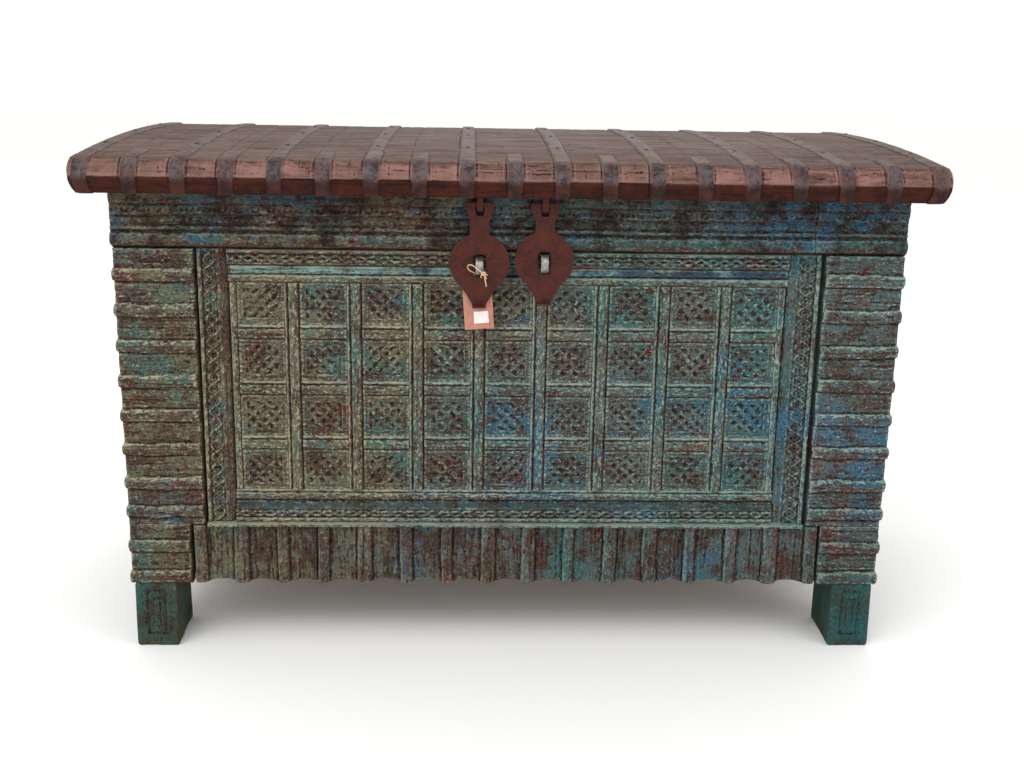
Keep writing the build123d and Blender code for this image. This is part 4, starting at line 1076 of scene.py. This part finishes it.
def shoulder_arc():
    """Centre, radius and the two angles of the arc from the lip into the dome."""
    dx, dz = SHOULDER_Y - LID_FRONT, LIP - SHOULDER_Z
    nx, nz = SHOULDER_Y / DOME_R, (DOME_Z - SHOULDER_Z) / DOME_R
    radius = (dx**2 + dz**2) / (2 * (dx * nx + dz * nz))
    y, z = -SHOULDER_Y + radius * nx, SHOULDER_Z + radius * nz
    start = math.atan2(LIP - z, -LID_FRONT - y) % (2 * math.pi)
    end = math.atan2(SHOULDER_Z - z, -SHOULDER_Y - y) % (2 * math.pi)
    return y, z, radius, start, end


ARC_Y, ARC_Z, ARC_R, ARC_START, ARC_END = shoulder_arc()
ARC_LENGTH = ARC_R * (ARC_START - ARC_END)
RAIL_LENGTH = math.hypot(UNDERCUT, LIP - LID_LOW)
SHOULDER_TURN = math.asin(SHOULDER_Y / DOME_R)
HALF_DOME = DOME_R * SHOULDER_TURN
ALL_ROUND = 2 * (ARC_LENGTH + HALF_DOME)


def lid_skin(s):
    """Points and outward directions on the lid, s mm from the front lip; below 0 is the frame's face."""
    s = np.asarray(s, float)
    back = s > ALL_ROUND / 2
    t = np.where(back, ALL_ROUND - s, s)
    on_rail = t < 0
    on_arc = (t >= 0) & (t < ARC_LENGTH)
    turn = ARC_START - t / ARC_R
    lean = (t - ARC_LENGTH) / DOME_R - SHOULDER_TURN
    slope = UNDERCUT / RAIL_LENGTH, (LIP - LID_LOW) / RAIL_LENGTH
    pick = lambda rail, arc, dome: np.where(on_rail, rail, np.where(on_arc, arc, dome))
    y = pick(-LID_FRONT - t * slope[0], ARC_Y + ARC_R * np.cos(turn), DOME_R * np.sin(lean))
    z = pick(LIP + t * slope[1], ARC_Z + ARC_R * np.sin(turn), DOME_Z + DOME_R * np.cos(lean))
    ny = pick(-slope[1], np.cos(turn), np.sin(lean))
    nz = pick(-slope[0], np.sin(turn), np.cos(lean))
    return np.where(back, -y, y), z, np.where(back, -ny, ny), nz


def end_inset(s):
    """How far the lid's ends curve in, below their lip."""
    below = np.clip(-np.minimum(s, ALL_ROUND - s) / RAIL_LENGTH, 0, 1)
    return 10.0 * below**2


def block_cuts(x, s):
    """Incised panels on the rounded front edge, one between each two straps, none quite alike."""
    cell = np.floor(x / STRAP_PITCH)
    p, q = x - (cell + 0.5) * STRAP_PITCH, s - ARC_LENGTH * 0.5
    h = np.zeros_like(x)
    for number in range(-10, 10):
        here = cell == number
        if not here.any():
            continue
        rng = np.random.default_rng(700 + number)
        size = np.array([rng.uniform(17, 22), rng.uniform(12, 16)])
        wobble = 1.6 * fbm(p[here] / 11, q[here] / 11, 760 + number, 2)
        m = np.maximum(np.abs(p[here]) - size[0], np.abs(q[here]) - size[1]) + wobble * 0.6
        cut = groove(m, 2.4, 0.9) * rise(fbm(p[here] / 12, q[here] / 12, 720 + number, 2), -0.2, 0.25)
        cut += groove(m + rng.uniform(4, 6), 2.2, 0.7) * (rng.random() < 0.35)
        for _ in range(rng.integers(1, 5)):
            angle = rng.choice([0.0, 0.0, math.pi / 2, rng.uniform(0, math.pi)]) + rng.uniform(-0.1, 0.1)
            dp, dq = p[here] - rng.uniform(-16, 16) + wobble, q[here] - rng.uniform(-12, 12) + wobble
            length = rng.uniform(5, 13)
            run = np.clip(dp * math.cos(angle) + dq * math.sin(angle), -length, length)
            cut += groove(np.hypot(dp - run * math.cos(angle), dq - run * math.sin(angle)), 2.6, 1.5)
        h[here] = np.clip(cut, -2.0, 0) * (0.7 + 0.5 * fbm(p[here] / 8, q[here] / 8, 780 + number, 2))
    return h


def lid_surface(x, s):
    """How far the lid's wood stands off its plain shape."""
    t = np.minimum(s, ALL_ROUND - s)
    h = grain(x, s, 51, 0.35, 110, 4) + 0.5 * fbm(x / 120, s / 60, 52, 2)
    on_edge = rise(t, 1.5, 4) * rise(-t, -ARC_LENGTH - 4, -ARC_LENGTH + 3) * (s < ALL_ROUND / 2)
    h += on_edge * (block_cuts(x, s) + 0.35 * fbm(x / 5, s / 5, 53, 2))
    broken = rise(fbm(x / 35, s * 0, 54), -0.2, 0.2)
    h += groove(t - 1.0, 4.0, 1.4) * (t < 6) + groove(t - ARC_LENGTH - 6, 2.6, 1.0) * broken
    scratch = rise(fbm(x / 70, s / 3.2, 57, 2), 0.6, 0.68) * rise(t, ARC_LENGTH, ARC_LENGTH + 20)
    h -= scratch
    to_strap = off_middle(x, STRAP_PITCH)
    beside = np.abs(to_strap) - STRAP / 2
    h += groove(beside - 2.6, 3.6, 1.0) * (1 + 0.8 * (to_strap < 0)) * rise(fbm(x / 40, s / 50, 59), -0.5, 0.1)
    h += on_edge * (half_round(beside - 7, 3.2, 0.8) + half_round(beside - 11.5, 2.6, 0.5))
    h = np.where(beside < 1, np.minimum(h, 0) * 0.3, h)
    return h + chips(x, s, 55, 1.3, 18) * (beside >= 1)


def lid_board(shape, s, inner, step_x, step_s):
    """A board of the lid from s[0] to s[1] on its skin, with the inner points closing its section."""
    count = max(2, round((s[1] - s[0]) / step_s) + 1)
    x = np.linspace(-LID_SIDE, LID_SIDE, round(2 * LID_SIDE / step_x) + 1)
    grid_x, grid_s = np.meshgrid(x, np.linspace(*s, count), indexing="ij")
    out = lid_surface(grid_x, grid_s)
    to_seam = np.minimum(grid_s - s[0], s[1] - grid_s)
    from_middle = np.abs(grid_x)
    to_end = LID_SIDE - from_middle
    out = out - 1.6 * (1 - rise(to_seam, 0, 2.4)) - 2.0 * (1 - rise(to_end, 0, 4))
    relief = proud(out, max(1, round(4 / step_x)))
    y, z, ny, nz = lid_skin(grid_s)
    outward = np.sign(grid_x)
    uneven = outward * rise(from_middle, LID_SIDE - 25, LID_SIDE) * 1.3 * fbm(grid_s / 16, grid_x * 0, 58)
    edge_x = grid_x + uneven - outward * rise(from_middle, LID_SIDE - 70, LID_SIDE) * end_inset(grid_s)
    skin = np.stack([edge_x, y + ny * out, z + nz * out], -1)
    inner = np.array(inner, float)
    closing = np.zeros((len(x), len(inner), 3))
    closing[..., 0], closing[..., 1], closing[..., 2] = edge_x[:, :1], inner[:, 0], inner[:, 1]
    rings = np.concatenate([skin, closing], axis=1)
    return loft(shape, rings, np.concatenate([relief, np.zeros((len(x), len(inner)))], axis=1))


def dome_under(y):
    """The planks' lower face."""
    return y, DOME_Z + math.sqrt((DOME_R - LID_PLANK) ** 2 - y**2)


def dome_s(y):
    """Distance along the skin to the place y on the dome."""
    return ARC_LENGTH + HALF_DOME + DOME_R * math.asin(y / DOME_R)


def mirrored(section):
    return [(-y, z) for y, z in reversed(section)]


PLANK = [dome_under(-INNER_EDGE), dome_under(-FRAME_INNER), (-FRAME_INNER, LIP), (-LID_FRONT + 2, LIP)]
RAIL = [(-FRAME_INNER, LIP), (-FRAME_INNER, LID_LOW)]
for node, ending, s, inner, steps in (
    ("lid_front_plank", "_cut", (0.0, dome_s(-INNER_EDGE)), PLANK, (1.9, 1.9)),
    ("lid_front_rail", "_worn", (-RAIL_LENGTH, 0.0), RAIL, (3.0, 2.2)),
    ("lid_back_plank", "_worn", (dome_s(INNER_EDGE), ALL_ROUND), mirrored(PLANK), (3.5, 3.0)),
    ("lid_back_rail", "_worn", (ALL_ROUND, ALL_ROUND + RAIL_LENGTH), mirrored(RAIL), (3.5, 2.6)),
):
    lid_board(Shape(), s, inner, *steps).piece(node, ending, varnished, "lid_wood", "lid")
shape = Shape()
for i in range(3):
    low, high = [-INNER_EDGE + (i + k) * 2 * INNER_EDGE / 3 for k in (0, 1)]
    low, high = low + 0.5, high - 0.5
    under = [dome_under(high + 0.5 + (low - high - 1) * k / 6) for k in range(7)]  # the seams close below
    lid_board(shape, (dome_s(low), dome_s(high)), under, 3.2, 3.2)
shape.piece("lid_middle_planks", "_worn", varnished, "lid_wood", "lid")


def end_undercut(points, normals):
    """The ends of the lid curve in below their lip."""
    below = np.clip((LIP - points[:, 2]) / (LIP - LID_LOW), 0, 1)
    return -10.0 * np.abs(normals[:, 0]) * below**2


for side in ("left", "right"):
    end = "lid_end_" + side, "_worn", varnished, "lid_wood", "lid"
    weathered(*end, 3.0, 0.9, (20, 70, 20), 520, end_undercut)
weathered("lid_battens", "_sawn", inner_y, "inner_wood", "lid", 3.0, 0.6, (18, 80, 18), 530)

# Half of a strap's section, from its edge to its middle: place across, lift off the wood, brightness
STRAP_SECTION = np.array([
    (-1, 0, 0.6), (-0.98, 1.3, 0.8), (-0.9, 2.1, 0.7), (-0.78, 2.5, 0.3), (-0.6, 2.6, -0.3), (-0.3, 2.7, -0.1),
    (0, 2.75, 0),
])
STRAP_SECTION = np.concatenate([STRAP_SECTION, STRAP_SECTION[-2::-1] * (-1, 1, 1)])


def strap(shape, x, last_s, seed):
    """An iron strip bent over the lid, its edges a little proud and uneven."""
    fine_until = ARC_LENGTH + 12
    coarse = np.linspace(fine_until, last_s, round(last_s / 6))
    s = np.concatenate([np.linspace(-RAIL_LENGTH, fine_until, 40), coarse[1:]])
    if last_s > ALL_ROUND / 2:
        front = s[s <= ALL_ROUND / 2]
        s = np.concatenate([front, ALL_ROUND - front[-2::-1]])
    across, lift, bright = STRAP_SECTION.T
    across = across * STRAP / 2
    grid_s, grid_a = np.meshgrid(s, across, indexing="ij")
    out = np.broadcast_to(lift, grid_s.shape) + 0.35 * fbm(grid_s / 9, grid_a / 7, seed, 2) * (lift > 0)
    out = np.clip(out, 0, 3.4) * (1 - 0.5 * (1 - rise(last_s - grid_s, 0, 4)))
    edge = np.sign(grid_a)
    wander = 0.9 * fbm(grid_s / 45, grid_a * 0, seed + 3) + edge * 0.6 * fbm(grid_s / 12, edge, seed + 5)
    if abs(x) > LID_SIDE - STRAP_PITCH / 2:
        wander = wander - np.sign(x) * end_inset(grid_s)
    y, z, ny, nz = lid_skin(grid_s)
    top = np.stack([x + grid_a + wander, y + ny * out, z + nz * out], -1)
    y, z, ny, nz = lid_skin(s)
    sides = x + STRAP / 3, x - STRAP / 3
    under = np.stack([np.stack([side + 0 * s, y - ny, z - nz], -1) for side in sides], 1)
    rings = np.concatenate([top, under], axis=1)
    relief = np.broadcast_to(bright, out.shape) + 0.3 * fbm(grid_s / 14, grid_a / 8, seed + 8)
    relief = np.concatenate([relief, np.zeros((len(s), 2))], axis=1)
    return loft(shape, rings[::-1], relief[::-1])


for number in range(10):
    long_strap = strap(Shape(), (2 * number - 9) * STRAP_PITCH, ALL_ROUND + RAIL_LENGTH, 600 + 10 * number)
    long_strap.piece(f"lid_strap_{number + 1:02d}", "_forged", strap_iron, "strap_iron", "lid")
shape = Shape()
for number in range(9):
    strap(shape, (2 * number - 8) * STRAP_PITCH, dome_s(SHORT_STRAP_Y), 800 + 10 * number)
shape.piece("lid_edge_straps", "_forged", strap_iron, "strap_iron", "lid")

# ---- Ironwork ----
for node, metal, slot, body, voxel, rough, patch, seed in (
    ("lid_nails", strap_iron, "strap_iron", "lid", 0.8, 0.3, 4, 540),
    ("wall_nails", hinge_iron, "hinge_iron", "body", 0.8, 0.3, 4, 541),
    ("hasp_left", hasp_iron, "hasp_iron", "hasp_left", 1.1, 0.5, 13, 550),
    ("staple_left", staple_steel, "staple_steel", "body", 0.7, 0.2, 6, 560),
    ("hasp_right", hasp_iron, "hasp_iron", "hasp_right", 1.1, 0.5, 13, 550),
    ("staple_right", staple_steel, "staple_steel", "body", 0.7, 0.2, 6, 560),
    ("hasp_hangers", hasp_iron, "hasp_iron", "lid", 0.7, 0.2, 6, 565),
    ("hinge_body_leaves", hinge_iron, "hinge_iron", "body", 0.9, 0.25, 12, 570),
    ("hinge_lid_leaves", hinge_iron, "hinge_iron", "lid", 0.9, 0.25, 12, 571),
    ("hinge_pins", hinge_iron, "hinge_iron", "body", 0.7, 0.1, 8, 572),
):
    weathered(node, "_forged", metal, slot, body, voxel, rough, (patch,) * 3, seed)


# ---- Tag ----
def curled(node, material):
    """A flat CAD sheet, cut into strips across and bent gently backwards towards its foot."""
    shell = merged(node)
    low = min(v.co.z for v in shell.verts)
    high = max(v.co.z for v in shell.verts)
    for z in np.arange(low + 2, high, 2.0):
        geometry = shell.verts[:] + shell.edges[:] + shell.faces[:]
        bmesh.ops.bisect_plane(shell, geom=geometry, plane_co=(0, 0, z), plane_no=(0, 0, 1))
    for vert in shell.verts:
        vert.co.y += card_bend(vert.co.x, vert.co.z)
    bmesh.ops.scale(shell, vec=(MM,) * 3, verts=shell.verts)
    mesh = bpy.data.meshes.new(node)
    shell.to_mesh(mesh)
    shell.free()
    return finish_piece(bpy.data.objects.new(node + "_curled", mesh), material, "hasp_left", node, node)


def card_bend(x, z):
    """How far the card has curled back at a place on it."""
    return 2.2 * max(0.0, (640 - z) / 60) ** 2 + 0.8 * math.sin((x + 58) / 14) * max(0.0, (650 - z) / 60)


curled("tag_card", tag_card)
curled("tag_label", tag_paper)

twine_curve = bpy.data.curves.new("tag_twine_cord", "CURVE")
twine_curve.dimensions = "3D"
twine_curve.bevel_depth = TWINE_R * MM
twine_curve.bevel_resolution = 4
twine_curve.use_fill_caps = True
spline = twine_curve.splines.new("NURBS")
spline.points.add(len(TWINE) - 1)
for point, place in zip(spline.points, TWINE):
    point.co = (*[c * MM for c in place], 1)
spline.order_u = 3
spline.use_endpoint_u = True
spline.resolution_u = 12
twine = bpy.data.objects.new("tag_twine_cord", twine_curve)
finish_piece(twine, twine_fibre, "hasp_left", "tag_twine", "tag_twine")


def tube(shape, line, radius):
    """A soft round strand along a closed or open line of points."""
    line = np.array(line, float)
    along = np.gradient(line, axis=0)
    along /= np.linalg.norm(along, axis=1, keepdims=True)
    side = np.cross(along, (0.31, 0.52, 0.79))
    side /= np.linalg.norm(side, axis=1, keepdims=True)
    other = np.cross(along, side)
    turn = np.linspace(0, 2 * math.pi, 10, endpoint=False)
    ring = side[:, None] * np.cos(turn)[:, None] + other[:, None] * np.sin(turn)[:, None]
    loft(shape, (line[:, None] + ring * radius)[:, ::-1], np.zeros((len(line), 10)))


shape = Shape()
t = np.linspace(0, 1, 60)
knot_at = np.array(TWINE[2])
for turns, size, lean in ((1.6, 3.2, 0.3), (1.3, 2.7, 1.9)):
    a = 2 * math.pi * turns * t + lean
    coil = np.stack([size * np.cos(a), 1.6 * np.sin(2 * a + lean) - 0.4, size * 0.85 * np.sin(a)], -1)
    tube(shape, knot_at + coil, 0.85)
for dx, dz, bow in ((4.5, -9.0, 1.5), (-3.5, -7.0, -2.0), (6.5, -2.0, 1.0)):
    tail = np.stack([dx * t + bow * np.sin(math.pi * t), -0.8 * np.sin(math.pi * t), dz * t], -1)
    tube(shape, knot_at + tail, 0.7)
knot = finish_piece(shape.build("tag_knot"), twine_fibre, "hasp_left", "tag_twine")


# ---- Floor, light and world ----
LIT = Vector((0, 0, 0.5))


def floor():
    """A large pale floor."""
    mesh = bpy.data.meshes.new("floor")
    far = 14.0
    mesh.from_pydata([(-far, -far, 0), (far, -far, 0), (far, far, 0), (-far, far, 0)], [], [(0, 1, 2, 3)])
    g = Graph("floor_pale", roughness=0.9, specular=0.1)
    g.shader.inputs["Base Color"].default_value = rgb(255, 255, 253)
    mesh.materials.append(g.material)
    obj = bpy.data.objects.new("floor", mesh)
    scene.collection.objects.link(obj)


def area_light(name, place, size, energy):
    """A soft rectangular lamp that faces the chest's middle."""
    data = bpy.data.lights.new(name, "AREA")
    data.shape = "RECTANGLE"
    data.size, data.size_y = size
    data.energy = energy
    lamp = bpy.data.objects.new(name, data)
    lamp.location = place
    lamp.rotation_euler = (LIT - Vector(place)).to_track_quat("-Z", "Y").to_euler()
    scene.collection.objects.link(lamp)


floor()
area_light("key", (-1.6, -2.6, 3.2), (2.6, 1.8), 55)
area_light("fill", (2.6, -2.0, 1.8), (1.8, 1.8), 12)
area_light("back_fill", (0.5, 3.2, 2.6), (2.4, 1.6), 22)
world = bpy.data.worlds.new("white_room")
world.use_nodes = True
world.node_tree.nodes["Background"].inputs[0].default_value = (1, 1, 1, 1)
world.node_tree.nodes["Background"].inputs[1].default_value = 1.0
scene.world = world
scene.view_settings.view_transform = "Standard"
